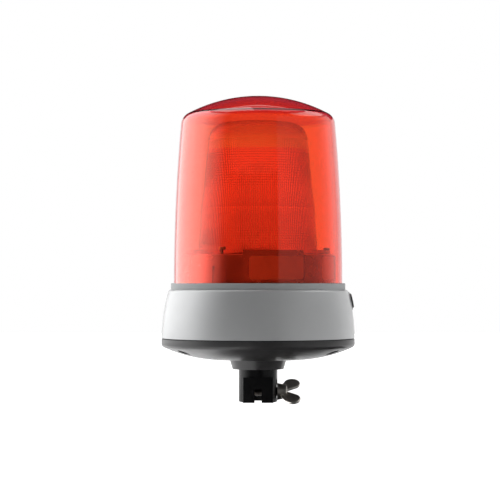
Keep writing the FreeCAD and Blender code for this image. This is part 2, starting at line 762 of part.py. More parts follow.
def make_electronics_cover():
    """Drum over the electronics, with a flange, sunk panels, a stepped block and a tab at its front edge."""
    inner_r = cover_r - cover_wall
    flange_r = ring_side_r(z_flange_top, ring_wall) - cover_flange_gap
    hole_r = lamp_body_d / 2 + hole_gap
    edge = (cover_r - cover_edge_r, z_cover_top - cover_edge_r)
    profile = Outline(inner_r, z_flange).line(flange_r, z_flange).line(flange_r, z_flange_top)
    profile.line(cover_r, z_flange_top).line(cover_r, edge[1]).arc(edge, edge[0], z_cover_top)
    profile.line(hole_r, z_cover_top).line(hole_r, z_cover_top - cover_wall)
    profile.line(inner_r, z_cover_top - cover_wall)
    middle_r = cover_r - cover_wall / 2
    tab_low = z_cover_top - cover_wall
    block_top = z_flange_top + block_height
    step_angle = block_angle + (block_width + step_width) / 2
    moulded = [
        sector(optic_flange_r + hole_gap, cover_r, tab_low, z_cover_top + tab_height, tab_angle, tab_width),
        sector(middle_r, cover_r + block_rise, z_flange_top, block_top, block_angle, block_width),
        sector(middle_r, cover_r + step_rise, z_flange_top, block_top - step_drop, step_angle, step_width),
    ]
    panel_low = z_flange_top + panel_foot
    panel_high = edge[1] - panel_border
    cuts = [
        sector(cover_r - panel_depth, cover_r + block_rise, panel_low, panel_high, angle, width)
        for angle, width in (
            (wide_panel_angle, wide_panel_width),
            (narrow_panel_angle, narrow_panel_width),
        )
    ]
    for place in on_circle(base_screw_circle, base_screw_angles):
        cuts.append(cylinder(base_screw_d / 2 + thread_gap, z_flange, z_flange_top, place))
    for place in on_circle(optic_screw_circle, optic_screw_angles):
        cuts.append(cylinder(optic_screw_d / 2 + thread_gap, z_cover_top - cover_wall, z_cover_top, place))
    return joined(profile.turned(), moulded).cut(cuts)


def optic_r(z):
    """Radius of the optic's plain outside at a height: a taper, then the round crown."""
    if z <= z_crown:
        return optic_foot_r - optic_draw * (z - z_optic_wall) / (z_crown - z_optic_wall)
    rise = z - z_crown
    return optic_crown_foot_r - optic_crown_r + math.sqrt(optic_crown_r ** 2 - rise ** 2)


def flute_cutter():
    """Pleated core whose ridges cut the flutes into the inside of the optic's wall."""
    low = z_optic_wall
    high = z_crown
    low_r = optic_foot_r - optic_wall + flute_skin
    high_r = optic_crown_foot_r - optic_wall + flute_skin
    ridge = 1 + flute_depth / low_r
    rings = []
    for z, radius in ((low, low_r), (high, high_r)):
        corners = []
        for step in range(2 * flute_count):
            size = radius * ridge if step % 2 else radius
            corners.append(polar(size, 180.0 * step / flute_count, z))
        rings.append(corners + corners[:1])
    faces = [Part.Face(Part.makePolygon(ring)) for ring in rings]
    below, above = rings
    for step in range(2 * flute_count):
        quad = [below[step], below[step + 1], above[step + 1], above[step], below[step]]
        faces.append(Part.Face(Part.makePolygon(quad)))
    return Part.Solid(Part.Shell(faces))


def belt_point(foot, share):
    """Point of the optic's bulged belt, a share of the way up from its foot."""
    z = foot + belt_height * share
    return (optic_r(z) + 4 * belt_bulge * share * (1 - share), z)


def make_drum_optic():
    """Drum lens: ring prisms above and below a bulged belt outside, upright flutes inside."""
    profile = Outline(optic_foot_r - optic_wall, z_cover_top).line(optic_flange_r, z_cover_top)
    profile.line(optic_flange_r, z_optic_wall).line(optic_foot_r, z_optic_wall)
    z = z_optic_wall + lower_plain
    profile.line(optic_r(z), z)
    for _ in range(lower_prisms):
        z += prism_pitch
        profile.line(optic_r(z) + prism_depth, z).line(optic_r(z), z)
    half_seam = seam_width / belt_height / 2
    middle_r, middle_z = belt_point(z, 0.5)
    profile.bow(*belt_point(z, 0.25), *belt_point(z, 0.5 - half_seam))
    profile.line(middle_r - seam_depth, middle_z).line(*belt_point(z, 0.5 + half_seam))
    profile.bow(*belt_point(z, 0.75), *belt_point(z, 1.0))
    z += belt_height
    for _ in range(upper_prisms):
        profile.line(optic_r(z) + prism_depth, z)
        z += prism_pitch
        profile.line(optic_r(z), z)
    profile.line(optic_crown_foot_r, z_crown)
    crown = (optic_crown_foot_r - optic_crown_r, z_crown)
    profile.arc(crown, crown[0], z_optic_top).line(0, z_optic_top).line(0, z_optic_top - optic_wall)
    profile.line(crown[0], z_optic_top - optic_wall)
    profile.arc(crown, optic_crown_foot_r - optic_wall, z_crown)
    profile.line(optic_foot_r - optic_wall, z_optic_wall)
    holes = [
        cylinder(optic_screw_d / 2 + hole_gap, z_cover_top, z_optic_wall, place)
        for place in on_circle(optic_screw_circle, optic_screw_angles)
    ]
    return profile.turned().cut(holes).cut(flute_cutter())


def make_optic_screws():
    """Three small screws through the optic's flange into the cover."""
    screws = []
    for place in on_circle(optic_screw_circle, optic_screw_angles):
        screw = round_headed(
            optic_screw_d, z_cover_top - optic_screw_bite, z_optic_wall, optic_screw_head_d,
            optic_screw_head_height, optic_screw_head_height / 3,
        )
        screw.translate(place)
        screws.append(screw)
    return Part.makeCompound(screws)


def legs():
    """Places of the flash tube's two legs."""
    return [FreeCAD.Vector(way * leg_spacing / 2, 0, 0) for way in (-1, 1)]


def make_lamp_socket():
    """Socket in the cover's roof, with two wells for the flash tube's legs and holes for their pins."""
    flange_r = lamp_flange_d / 2
    body_r = lamp_body_d / 2
    profile = Outline(0, z_lamp_foot).line(body_r, z_lamp_foot).line(body_r, z_cover_top)
    profile.line(flange_r, z_cover_top).line(flange_r, z_lamp_top).line(0, z_lamp_top)
    cuts = [cylinder(flash_tube_r + thread_gap, z_leg_foot, z_lamp_top, leg) for leg in legs()]
    cuts += [cylinder(pin_d / 2 + thread_gap, z_lamp_foot, z_leg_foot, leg) for leg in legs()]
    return profile.turned().cut(cuts)


def hairpin(radius):
    """Solid rod bent as the flash tube is: up one leg, round the bend and down the other."""
    left, right = [FreeCAD.Vector(leg.x, 0, z_leg_foot) for leg in legs()]
    left_top = FreeCAD.Vector(left.x, 0, z_bend)
    right_top = FreeCAD.Vector(right.x, 0, z_bend)
    crest = FreeCAD.Vector(0, 0, z_bend + leg_spacing / 2)
    path = Part.Wire([
        Part.LineSegment(left, left_top).toShape(),
        Part.Arc(left_top, crest, right_top).toShape(),
        Part.LineSegment(right_top, right).toShape(),
    ])
    return path.makePipeShell([Part.Wire(Part.makeCircle(radius, left, UP))], True, False)


def make_flash_tube():
    """Hollow glass tube bent into a hairpin."""
    return hairpin(flash_tube_r).cut(hairpin(flash_tube_r - flash_tube_wall))


def make_tube_electrodes():
    """Electrode and pin in each leg of the flash tube."""
    radius = flash_tube_r - flash_tube_wall - thread_gap
    pieces = []
    for leg in legs():
        rod = cylinder(radius, z_leg_foot, z_leg_foot + electrode_length, leg)
        pieces.append(joined(rod, [cylinder(pin_d / 2, z_lamp_foot, z_leg_foot, leg)]))
    return Part.makeCompound(pieces)


def make_trigger_wire():
    """Trigger wire up one leg, with bands round the glass."""
    leg = legs()[0]
    inner = flash_tube_r + thread_gap
    outer = inner + trigger_band_wall
    heights = [z_lamp_top + trigger_band_pitch * (step + 1) for step in range(trigger_bands)]
    bands = [tube(inner, outer, z, z + trigger_band_height, leg) for z in heights]
    beside = FreeCAD.Vector(leg.x - outer, 0, 0)
    rod = cylinder(trigger_band_wall, z_lamp_top, heights[-1] + trigger_band_height, beside)
    return joined(rod, bands)


def make_reflector_disc():
    """Bright disc on the cover's roof, between the lamp socket and the optic."""
    inner = lamp_flange_d / 2 + part_gap
    outer = optic_foot_r - optic_wall - part_gap
    return tube(inner, outer, z_cover_top, z_cover_top + reflector_thickness)


def make_circuit_board():
    """Round board with holes for its screws and for the supply lead."""
    board = cylinder(board_r, z_board, z_board_top)
    cuts = [
        cylinder(board_screw_d / 2 + hole_gap, z_board, z_board_top, place)
        for place in on_circle(post_circle, post_angles)
    ]
    cuts.append(cylinder(lead_d / 2 + hole_gap, z_board, z_board_top, terminal_place()))
    return board.cut(cuts)


def make_board_screws():
    """Four screws that hold the board on its posts."""
    screws = []
    for place in on_circle(post_circle, post_angles):
        screw = round_headed(
            board_screw_d, z_board_top - board_screw_length, z_board_top, board_screw_head_d,
            board_screw_head_height, board_screw_head_height / 3,
        )
        screw.translate(place)
        screws.append(screw)
    return Part.makeCompound(screws)


def make_storage_capacitors():
    """Two upright cans with rolled edges, beside each other at one side of the board."""
    radius = capacitor_d / 2
    top = z_board_top + capacitor_height
    cans = []
    for way in (-1, 1):
        can = Outline(0, z_board_top).line(radius, z_board_top).line(radius, top - capacitor_edge_r)
        can.arc((radius - capacitor_edge_r, top - capacitor_edge_r), radius - capacitor_edge_r, top)
        solid = can.line(0, top).turned()
        solid.translate(FreeCAD.Vector(-lane_half - radius, way * (radius + part_gap / 2), 0))
        cans.append(solid)
    return Part.makeCompound(cans)


def core_x():
    """Middle of the transformer, across the lane from the capacitors."""
    return lane_half + winding_bulge + core_depth / 2


def window_width():
    """Width of each of the two windows in the transformer's core."""
    return (core_length - 2 * core_limb - core_middle) / 2


def make_transformer_core():
    """Three-limbed core with two windows for the winding."""
    top = z_board_top + core_height
    core = box(core_depth, core_length, z_board_top, top, core_x())
    offset = (core_middle + window_width()) / 2
    windows = [
        box(core_depth, window_width(), z_board_top + core_limb, top - core_limb, core_x(), way * offset)
        for way in (-1, 1)
    ]
    return core.cut(windows)


def make_transformer_winding():
    """Winding on the core's middle limb, rounded where it stands out of the windows."""
    low = z_board_top + core_limb + thread_gap
    high = z_board_top + core_height - core_limb - thread_gap
    width = core_middle + 2 * window_width() - 2 * thread_gap
    coil = box(core_depth + 2 * winding_bulge, width, low, high, core_x())
    corners = [edge for edge in coil.Edges if abs(edge.tangentAt(edge.FirstParameter).z) > 0.9]
    coil = coil.makeFillet(winding_bulge, corners)
    return coil.cut(box(core_depth + 2 * thread_gap, core_middle + 2 * thread_gap, low, high, core_x()))


def make_trigger_coil():
    """Small bobbin with cheeks at both ends."""
    radius = coil_d / 2
    waist = radius - coil_waist
    top = z_board_top + coil_height
    profile = Outline(0, z_board_top).line(radius, z_board_top).line(radius, z_board_top + coil_cheek)
    profile.line(waist, z_board_top + coil_cheek).line(waist, top - coil_cheek)
    profile.line(radius, top - coil_cheek).line(radius, top).line(0, top)
    coil = profile.turned()
    coil.translate(ALONG_Y * -coil_setback)
    return coil


def terminal_place():
    """Middle of the terminal block in plan."""
    return ALONG_Y * (terminal_setback + terminal_depth / 2)


def make_terminal_block():
    """Two-way terminal block with screw wells."""
    top = z_board_top + terminal_height
    place = terminal_place()
    body = box(terminal_width, terminal_depth, z_board_top, top, 0, place.y)
    aside = FreeCAD.Vector(terminal_width / 4, 0, 0)
    wells = [
        cylinder(terminal_well_d / 2, top - terminal_well_depth, top, place + aside * way)
        for way in (-1, 1)
    ]
    return body.cut(wells)


def sink_face():
    """Face of the heat sink that the transistor lies on."""
    return board_r - sink_inset


def make_heat_sink():
    """Finned heat sink at the board's edge."""
    top = z_board_top + sink_height
    base = box(sink_width, sink_base, z_board_top, top, 0, sink_face() + sink_base / 2)
    step = (sink_width - sink_fin_thickness) / (sink_fins - 1)
    fins = [
        box(
            sink_fin_thickness, sink_depth, z_board_top, top,
            (sink_fin_thickness - sink_width) / 2 + step * count, sink_face() + sink_depth / 2,
        )
        for count in range(sink_fins)
    ]
    return joined(base, fins)


def make_transistor():
    """Flat power transistor on the heat sink's face."""
    top = z_board_top + transistor_height
    middle = sink_face() - transistor_thickness / 2
    return box(transistor_width, transistor_thickness, z_board_top, top, 0, middle)


def make_supply_lead():
    """Lead from the contact bush, up through the board to the terminal block."""
    level = z_insulator_top + lead_d / 2
    end = terminal_place()
    return lead([
        FreeCAD.Vector(0, bush_head_r + thread_gap, level),
        FreeCAD.Vector(0, end.y, level),
        FreeCAD.Vector(0, end.y, z_board_top),
    ])


def make_earth_lead():
    """Lead from the earth tag up to the board."""
    start = tag_r + tag_tab_length / 2
    third = (z_board - z_nut) / 3
    return lead([
        FreeCAD.Vector(-start, 0, z_nut),
        FreeCAD.Vector(-start, 0, z_nut + third),
        FreeCAD.Vector(-start - lead_jog, 0, z_board - third),
        FreeCAD.Vector(-start - lead_jog, 0, z_board),
    ])


def make_flash_leads():
    """Two leads from the board up to the lamp socket's pins."""
    third = (z_lamp_foot - z_board_top) / 3
    leads = []
    for leg in legs():
        inward = leg.x - math.copysign(lead_jog, leg.x)
        leads.append(lead([
            FreeCAD.Vector(inward, 0, z_board_top),
            FreeCAD.Vector(inward, 0, z_board_top + third),
            FreeCAD.Vector(leg.x, 0, z_lamp_foot - third),
            FreeCAD.Vector(leg.x, 0, z_lamp_foot),
        ]))
    return Part.makeCompound(leads)


MAKERS = {
    "socket_tube": make_socket_tube,
    "socket_nut": make_socket_nut,
    "earth_tag": make_earth_tag,
    "contact_insulator": make_contact_insulator,
    "contact_bush": make_contact_bush,
    "contact_plunger": make_contact_plunger,
    "contact_clip": make_contact_clip,
    "contact_spring": make_contact_spring,
    "wing_screw": make_wing_screw,
    "thrust_pad": make_thrust_pad,
    "base_pan": make_base_pan,
    "base_gasket": make_base_gasket,
    "base_screws": make_base_screws,
    "housing_ring": make_housing_ring,
    "lens_seal": make_lens_seal,
    "lens": make_lens,
    "lock_screw": make_lock_screw,
    "electronics_cover": make_electronics_cover,
    "drum_optic": make_drum_optic,
    "optic_screws": make_optic_screws,
    "lamp_socket": make_lamp_socket,
    "flash_tube": make_flash_tube,
    "tube_electrodes": make_tube_electrodes,
    "trigger_wire": make_trigger_wire,
    "reflector_disc": make_reflector_disc,
    "circuit_board": make_circuit_board,
    "board_screws": make_board_screws,
    "storage_capacitors": make_storage_capacitors,
    "transformer_core": make_transformer_core,
    "transformer_winding": make_transformer_winding,
    "trigger_coil": make_trigger_coil,
    "terminal_block": make_terminal_block,
    "heat_sink": make_heat_sink,
    "transistor": make_transistor,
    "supply_lead": make_supply_lead,
    "earth_lead": make_earth_lead,
    "flash_leads": make_flash_leads,
}

os.makedirs("parts", exist_ok=True)
for node, make in MAKERS.items():
    make().exportStep("parts/" + node + ".step")
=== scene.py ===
import logging
import math
from dataclasses import dataclass
from enum import Enum

import bmesh
import bpy
from bpy.types import ID, Material, Mesh, Node, NodeSocket, NodeTree, Object, bpy_prop_collection
from mathutils import Matrix, Vector


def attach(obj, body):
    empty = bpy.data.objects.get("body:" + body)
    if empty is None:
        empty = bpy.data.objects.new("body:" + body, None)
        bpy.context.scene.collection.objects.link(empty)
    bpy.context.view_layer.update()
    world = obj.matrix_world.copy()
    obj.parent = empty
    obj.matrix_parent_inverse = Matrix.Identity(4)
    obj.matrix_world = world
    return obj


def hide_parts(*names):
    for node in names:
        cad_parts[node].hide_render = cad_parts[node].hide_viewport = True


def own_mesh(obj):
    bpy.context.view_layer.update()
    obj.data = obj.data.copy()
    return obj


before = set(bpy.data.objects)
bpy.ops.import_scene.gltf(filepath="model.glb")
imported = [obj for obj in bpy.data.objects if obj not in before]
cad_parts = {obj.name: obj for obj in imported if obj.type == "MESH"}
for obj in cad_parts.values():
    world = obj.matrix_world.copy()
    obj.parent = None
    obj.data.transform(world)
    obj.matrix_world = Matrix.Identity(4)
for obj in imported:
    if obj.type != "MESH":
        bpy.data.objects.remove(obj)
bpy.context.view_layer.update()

# Xenon strobe beacon: looks and studio. Sizes of the pieces are in millimetres in the classes and become
# metres in their meshes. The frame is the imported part's own: +Z up, the front faces -Y.

MM = 0.001
FULL_TURN = 2 * math.pi
SEAM_MERGE = 1e-6
POINT_MERGE = 2e-6
EDGE_STEPS = 6
CURVE_STEPS = 16
SKIN_STEPS = 24
FLECK_OCTAVES = 2.0
WHITE = (1.0, 1.0, 1.0)
LOG = logging.getLogger("strobe_beacon")

Colour = tuple[float, float, float]
Point = tuple[float, float]
Face = tuple[int, ...]
Inputs = dict[str | int, object]
Materials = dict[str, Material]


class Body(Enum):
    """Bodies of the part that new pieces ride on."""

    BASE = "base"
    LENS = "lens"
    WING_SCREW = "wing_screw"


class Wall(Enum):
    """Side of a turned wall that a profile point lies on."""

    PLAIN = 0.0
    FLUTED = 1.0


class Carving(Enum):
    """What a tool's mesh does to a body's mesh."""

    CUT = "DIFFERENCE"
    UNITE = "UNION"


class TreeKind(Enum):
    """Kinds of node trees."""

    SHADER = "ShaderNodeTree"
    GEOMETRY = "GeometryNodeTree"


class Ray(Enum):
    """Kinds of light paths that a screen can be hidden from."""

    CAMERA = "visible_camera"
    THROUGH_GLASS = "visible_transmission"
    MIRRORED = "visible_glossy"
    DIFFUSE = "visible_diffuse"
    SHADOW = "visible_shadow"


# Node trees


class Graph:
    """Adds and links the nodes of one tree."""

    def __init__(self, tree: NodeTree) -> None:
        """Keeps the shader or geometry node tree."""
        self.tree = tree

    def feed(self, target: NodeSocket, value: object) -> None:
        """Links a socket to another one, or gives it a plain value.

        Args:
            target: Input socket.
            value: Output socket, number, vector or colour.
        """
        if isinstance(value, NodeSocket):
            self.tree.links.new(value, target)
        elif target.type == "RGBA":
            target.default_value = (*value, 1.0)
        else:
            target.default_value = value

    def give(self, node: Node, inputs: Inputs) -> None:
        """Feeds several inputs of a node, by name or number."""
        for key, value in inputs.items():
            self.feed(node.inputs[key], value)

    def add(self, kind: str, inputs: Inputs | None = None, **settings: object) -> Node:
        """Adds a node.

        Args:
            kind: Node type.
            inputs: What its inputs get.
            settings: Properties of the node.

        Returns:
            The new node.
        """
        node = self.tree.nodes.new(kind)
        for key, value in settings.items():
            setattr(node, key, value)
        self.give(node, inputs or {})
        return node

    def math(self, operation: str, *values: object) -> NodeSocket:
        """Adds a math node on sockets or numbers and returns its result."""
        return self.add("ShaderNodeMath", dict(enumerate(values)), operation=operation).outputs[0]

    def part(self, vector: NodeSocket, axis: str) -> NodeSocket:
        """Adds a split of a vector and returns its X, Y or Z."""
        return self.add("ShaderNodeSeparateXYZ", {0: vector}).outputs[axis]

    def noise(self, where: NodeSocket, scale: object, octaves: float) -> NodeSocket:
        """Adds a noise texture and returns its value."""
        return self.add("ShaderNodeTexNoise", {"Vector": where, "Scale": scale, "Detail": octaves}).outputs[0]

    def mixed(self, share: object, first: object, second: object) -> NodeSocket:
        """Adds a mix of two colours, with a share of the second one, and returns it."""
        node = self.add("ShaderNodeMix", {"Factor": share, 6: first, 7: second}, data_type="RGBA")
        return node.outputs[2]


def new_tree(
    name: str, kind: TreeKind, inputs: dict[str, str], outputs: dict[str, str]
) -> tuple[Graph, bpy_prop_collection]:
    """Starts a node group.

    Args:
        name: Name of the group.
        kind: Kind of its tree.
        inputs: Socket type of each input by name.
        outputs: Socket type of each output by name.

    Returns:
        Its graph, and the sockets of its inputs by name.
    """
    tree = bpy.data.node_groups.new(name, kind.value)
    for side, sockets in (("INPUT", inputs), ("OUTPUT", outputs)):
        for socket, socket_type in sockets.items():
            tree.interface.new_socket(socket, in_out=side, socket_type="NodeSocket" + socket_type)
    graph = Graph(tree)
    return graph, graph.add("NodeGroupInput").outputs


def end_tree(graph: Graph, geometry: NodeSocket, finish: NodeSocket) -> None:
    """Ends a geometry tree with real instances and their material.

    Args:
        graph: Graph of the tree.
        geometry: What the tree has made.
        finish: Material that it gets.
    """
    real = graph.add("GeometryNodeRealizeInstances", {0: geometry})
    finished = graph.add("GeometryNodeSetMaterial", {"Geometry": real.outputs[0], "Material": finish})
    graph.add("NodeGroupOutput", {"Mesh": finished.outputs[0]})


def surface_group() -> NodeTree:
    """Makes the shared group for moulded and worn surfaces.

    Returns:
        A tree that puts out a height for the relief, a roughness and a colour.
    """
    fine_octaves, broad_octaves = 3.0, 4.0
    broad_share, least_roughness = 0.04, 0.02
    graph, given = new_tree(
        "surface_detail", TreeKind.SHADER,
        {
            "Vector": "Vector", "Grain": "Float", "Roughness": "Float", "Smudge": "Float",
            "Colour": "Color", "Shade": "Color", "Mottle": "Float",
        },
        {"Height": "Float", "Roughness": "Float", "Colour": "Color"},
    )
    fine = graph.noise(given["Vector"], given["Grain"], fine_octaves)
    broad_grain = graph.math("MULTIPLY", given["Grain"], broad_share)
    broad = graph.noise(given["Vector"], broad_grain, broad_octaves)
    swing = graph.math("MULTIPLY", graph.math("SUBTRACT", broad, 0.5), given["Smudge"])
    rough = graph.math("ADD", given["Roughness"], swing)
    share = graph.math("MULTIPLY", broad, given["Mottle"])
    graph.add("NodeGroupOutput", {
        "Height": fine,
        "Roughness": graph.math("MAXIMUM", rough, least_roughness),
        "Colour": graph.mixed(share, given["Colour"], given["Shade"]),
    })
    return graph.tree


def turning_tree() -> NodeTree:
    """Makes the geometry tree that turns a profile about Z.

    A profile point's x is its radius, its z the height, and its y how far it takes part in the flutes.

    Returns:
        The tree, with inputs for its segments, flutes, flute depth and finish.
    """
    graph, given = new_tree(
        "turned_wall", TreeKind.GEOMETRY,
        {
            "Profile": "Geometry", "Segments": "Int", "Flutes": "Int", "Flute Depth": "Float",
            "Finish": "Material",
        },
        {"Mesh": "Geometry"},
    )
    count = graph.add("GeometryNodeAttributeDomainSize", {"Geometry": given["Profile"]}, component="MESH")
    rows = count.outputs["Point Count"]
    columns = graph.math("ADD", given["Segments"], 1.0)
    grid = graph.add("GeometryNodeMeshGrid", {"Vertices X": columns, "Vertices Y": rows})
    index = graph.add("GeometryNodeInputIndex").outputs[0]
    row = graph.math("MODULO", index, rows)
    column = graph.math("FLOOR", graph.math("DIVIDE", index, rows))
    position = graph.add("GeometryNodeInputPosition").outputs[0]
    picked = graph.add(
        "GeometryNodeSampleIndex", {"Geometry": given["Profile"], "Value": position, "Index": row},
        data_type="FLOAT_VECTOR", domain="POINT",
    )
    parts = graph.add("ShaderNodeSeparateXYZ", {0: picked.outputs["Value"]}).outputs
    turn = graph.math("DIVIDE", column, given["Segments"])
    angle = graph.math("MULTIPLY", turn, FULL_TURN)
    phase = graph.math("MULTIPLY", graph.math("MULTIPLY", turn, given["Flutes"]), 2.0)
    slope = graph.math("PINGPONG", phase, 1.0)
    wave = graph.math("MULTIPLY", slope, graph.math("SUBTRACT", 2.0, slope))
    relief = graph.math("MULTIPLY", graph.math("MULTIPLY", wave, given["Flute Depth"]), parts["Y"])
    radius = graph.math("ADD", parts["X"], relief)
    spot = graph.add("ShaderNodeCombineXYZ", {
        "X": graph.math("MULTIPLY", radius, graph.math("COSINE", angle)),
        "Y": graph.math("MULTIPLY", radius, graph.math("SINE", angle)),
        "Z": parts["Z"],
    })
    moved = graph.add("GeometryNodeSetPosition", {
        "Geometry": grid.outputs["Mesh"], "Position": spot.outputs[0],
    })
    merged = graph.add("GeometryNodeMergeByDistance", {
        "Geometry": moved.outputs[0], "Distance": SEAM_MERGE,
    })
    end_tree(graph, merged.outputs[0], given["Finish"])
    return graph.tree


def screw_circle_tree() -> NodeTree:
    """Makes the geometry tree that sets equal screws round the axis.

    Returns:
        The tree, with inputs for the circle, its height, the screws' turn and their finish.
    """
    graph, given = new_tree(
        "screw_circle", TreeKind.GEOMETRY,
        {
            "Screw": "Geometry", "Count": "Int", "Circle": "Float", "Height": "Float", "First": "Float",
            "Tip": "Float", "Seed": "Int", "Finish": "Material",
        },
        {"Mesh": "Geometry"},
    )
    circle = graph.add(
        "GeometryNodeMeshCircle", {"Vertices": given["Count"], "Radius": given["Circle"]}, fill_type="NONE"
    )
    lift = graph.add("ShaderNodeCombineXYZ", {"Z": given["Height"]})
    aim = graph.add("ShaderNodeCombineXYZ", {"Z": given["First"]})
    placed = graph.add("GeometryNodeTransform", {
        "Geometry": circle.outputs["Mesh"], "Translation": lift.outputs[0], "Rotation": aim.outputs[0],
    })
    spin = graph.add("FunctionNodeRandomValue", {3: FULL_TURN, "Seed": given["Seed"]}, data_type="FLOAT")
    twist = graph.add("ShaderNodeCombineXYZ", {"X": given["Tip"], "Z": spin.outputs[1]})
    spread = graph.add("GeometryNodeInstanceOnPoints", {
        "Points": placed.outputs[0], "Instance": given["Screw"], "Rotation": twist.outputs[0],
    })
    end_tree(graph, spread.outputs[0], given["Finish"])
    return graph.tree


SURFACE = surface_group()
TURNING = turning_tree()
SCREW_CIRCLE = screw_circle_tree()


# Meshes


def linked(name: str, data: ID) -> Object:
    """Makes an object in the scene.

    Args:
        name: Name of the object.
        data: Its mesh or camera.

    Returns:
        The object.
    """
    holder = bpy.data.objects.new(name, data)
    bpy.context.scene.collection.objects.link(holder)
    return holder


def worked(holder: Object, *tools: Object) -> Mesh:
    """Carries out an object's modifiers.

    Args:
        holder: The object, which is used up with its mesh.
        tools: Objects that the modifiers need, which are used up too.

    Returns:
        The result as a plain mesh.
    """
    graph = bpy.context.evaluated_depsgraph_get()
    mesh = bpy.data.meshes.new_from_object(holder.evaluated_get(graph), depsgraph=graph)
    for item in (holder, *tools):
        used = item.data
        bpy.data.objects.remove(item)
        bpy.data.meshes.remove(used)
    return mesh


def grown(seed: Mesh, tree: NodeTree, values: dict[str, object]) -> Mesh:
    """Runs a geometry tree on a seed mesh.

    Args:
        seed: Mesh that the tree starts from, which is used up.
        tree: Geometry node tree.
        values: Values of the tree's inputs by name.

    Returns:
        The result as a plain mesh.
    """
    holder = linked("seed", seed)
    modifier = holder.modifiers.new("grow", "NODES")
    modifier.node_group = tree
    for socket in tree.interface.items_tree:
        if socket.in_out == "INPUT" and socket.name in values:
            modifier[socket.identifier] = values[socket.name]
    return worked(holder)


def carved(body: Mesh, tool: Mesh, carving: Carving) -> Mesh:
    """Cuts one mesh out of another, or unites them.

    Args:
        body: Mesh to carve, which is used up.
        tool: Closed mesh, which is used up.
        carving: What the tool does.

    Returns:
        The result as a plain mesh.
    """
    holder, other = linked("body", body), linked("tool", tool)
    modifier = holder.modifiers.new("carve", "BOOLEAN")
    modifier.operation = carving.value
    modifier.solver = "EXACT"
    modifier.use_self = True
    modifier.object = other
    return worked(holder, other)


def plain_mesh(points: list, faces: list[Face], edges: list[Face] | tuple = ()) -> Mesh:
    """Makes a mesh from lists.

    Args:
        points: Places in metres.
        faces: Corner numbers of each face.
        edges: End numbers of each loose edge.

    Returns:
        The mesh.
    """
    mesh = bpy.data.meshes.new("part")
    mesh.from_pydata(points, edges, faces)
    return mesh


def settled(mesh: Mesh, sharp: float, outwards: bool = True) -> Mesh:
    """Merges doubles and shades a mesh.

    Args:
        mesh: Mesh to settle.
        sharp: Angle in degrees past which an edge stays sharp.
        outwards: Whether its faces are turned outwards.

    Returns:
        The same mesh.
    """
    work = bmesh.new()
    work.from_mesh(mesh)
    bmesh.ops.remove_doubles(work, verts=work.verts, dist=POINT_MERGE)
    if outwards:
        bmesh.ops.recalc_face_normals(work, faces=work.faces)
    work.to_mesh(mesh)
    work.free()
    mesh.shade_smooth()
    mesh.set_sharp_from_angle(angle=math.radians(sharp))
    return mesh


def coated(mesh: Mesh, finish: Material) -> Mesh:
    """Gives a mesh one material in place of any others.

    Args:
        mesh: Mesh to coat.
        finish: Its only material.

    Returns:
        The same mesh.
    """
    mesh.materials.clear()
    mesh.materials.append(finish)
    return mesh


def arc(centre: Point, radius: float, first: float, last: float, steps: int) -> list[Point]:
    """Lists the points of an arc in a number of steps between two angles in degrees."""
    angles = [math.radians(first + (last - first) * step / steps) for step in range(steps + 1)]
    return [(centre[0] + radius * math.cos(a), centre[1] + radius * math.sin(a)) for a in angles]


def spun(radius: float, turn: float, z: float) -> tuple[float, float, float]:
    """Place in metres of a point in millimetres, at a turn about Z in radians."""
    return radius * MM * math.cos(turn), radius * MM * math.sin(turn), z * MM


def lattice(rows: int, columns: int, loop: bool) -> list[Face]:
    """Lists the quads between rows of points.

    Args:
        rows: Number of rows.
        columns: Points in a row.
        loop: Whether each row closes on itself.

    Returns:
        Corner numbers of each quad.
    """
    steps = [(step, (step + 1) % columns) for step in range(columns if loop else columns - 1)]
    starts = range(0, (rows - 1) * columns, columns)
    return [(low + i, low + j, low + columns + j, low + columns + i) for low in starts for i, j in steps]


def capped(points: list, count: int, sharp: float) -> Mesh:
    """Makes a closed skin over rings of points.

    Args:
        points: Places in metres, ring after ring.
        count: Points in a ring.
        sharp: Angle in degrees past which an edge stays sharp.

    Returns:
        The mesh, with a face on its first and on its last ring.
    """
    faces = lattice(len(points) // count, count, loop=True)
    faces += [tuple(range(count)), tuple(range(len(points) - count, len(points)))]
    return settled(plain_mesh(points, faces), sharp)


def turned(
    profile: list[Point],
    segments: int,
    finish: Material,
    closed: bool = True,
    sharp: float = 35.0,
    flutes: int = 0,
    flute_depth: float = 0.0,
    walls: list[Wall] | None = None,
) -> Mesh:
    """Turns a profile about Z with the turning tree.

    Args:
        profile: (radius, height) points in millimetres.
        segments: Runs round the axis.
        finish: Material of the piece.
        closed: Whether the profile goes back to its first point.
        sharp: Angle past which an edge stays sharp.
        flutes: Number of flutes.
        flute_depth: Their depth in millimetres.
        walls: Side of the wall for each point.

    Returns:
        The turned mesh in metres.
    """
    sides = walls or [Wall.PLAIN] * len(profile)
    points = [(r * MM, side.value, z * MM) for (r, z), side in zip(profile, sides)]
    if closed:
        points.append(points[0])
    seed = plain_mesh(points, [], [(i, i + 1) for i in range(len(points) - 1)])
    mesh = grown(seed, TURNING, {
        "Segments": segments, "Flutes": flutes, "Flute Depth": flute_depth * MM, "Finish": finish,
    })
    return settled(mesh, sharp)


def joined(meshes: list[Mesh]) -> Mesh:
    """Puts several meshes into one.

    Args:
        meshes: Meshes with one material or none each, which are used up.

    Returns:
        One mesh with all their faces and the materials in order.
    """
    whole = bmesh.new()
    result = bpy.data.meshes.new("joined")
    finishes = []
    for number, mesh in enumerate(meshes):
        before = len(whole.faces)
        whole.from_mesh(mesh)
        whole.faces.ensure_lookup_table()
        for face in whole.faces[before:]:
            face.material_index = number
        finishes.append(mesh.materials[0] if mesh.materials else None)
        bpy.data.meshes.remove(mesh)
    whole.to_mesh(result)
    whole.free()
    for finish in finishes:
        result.materials.append(finish)
    return result


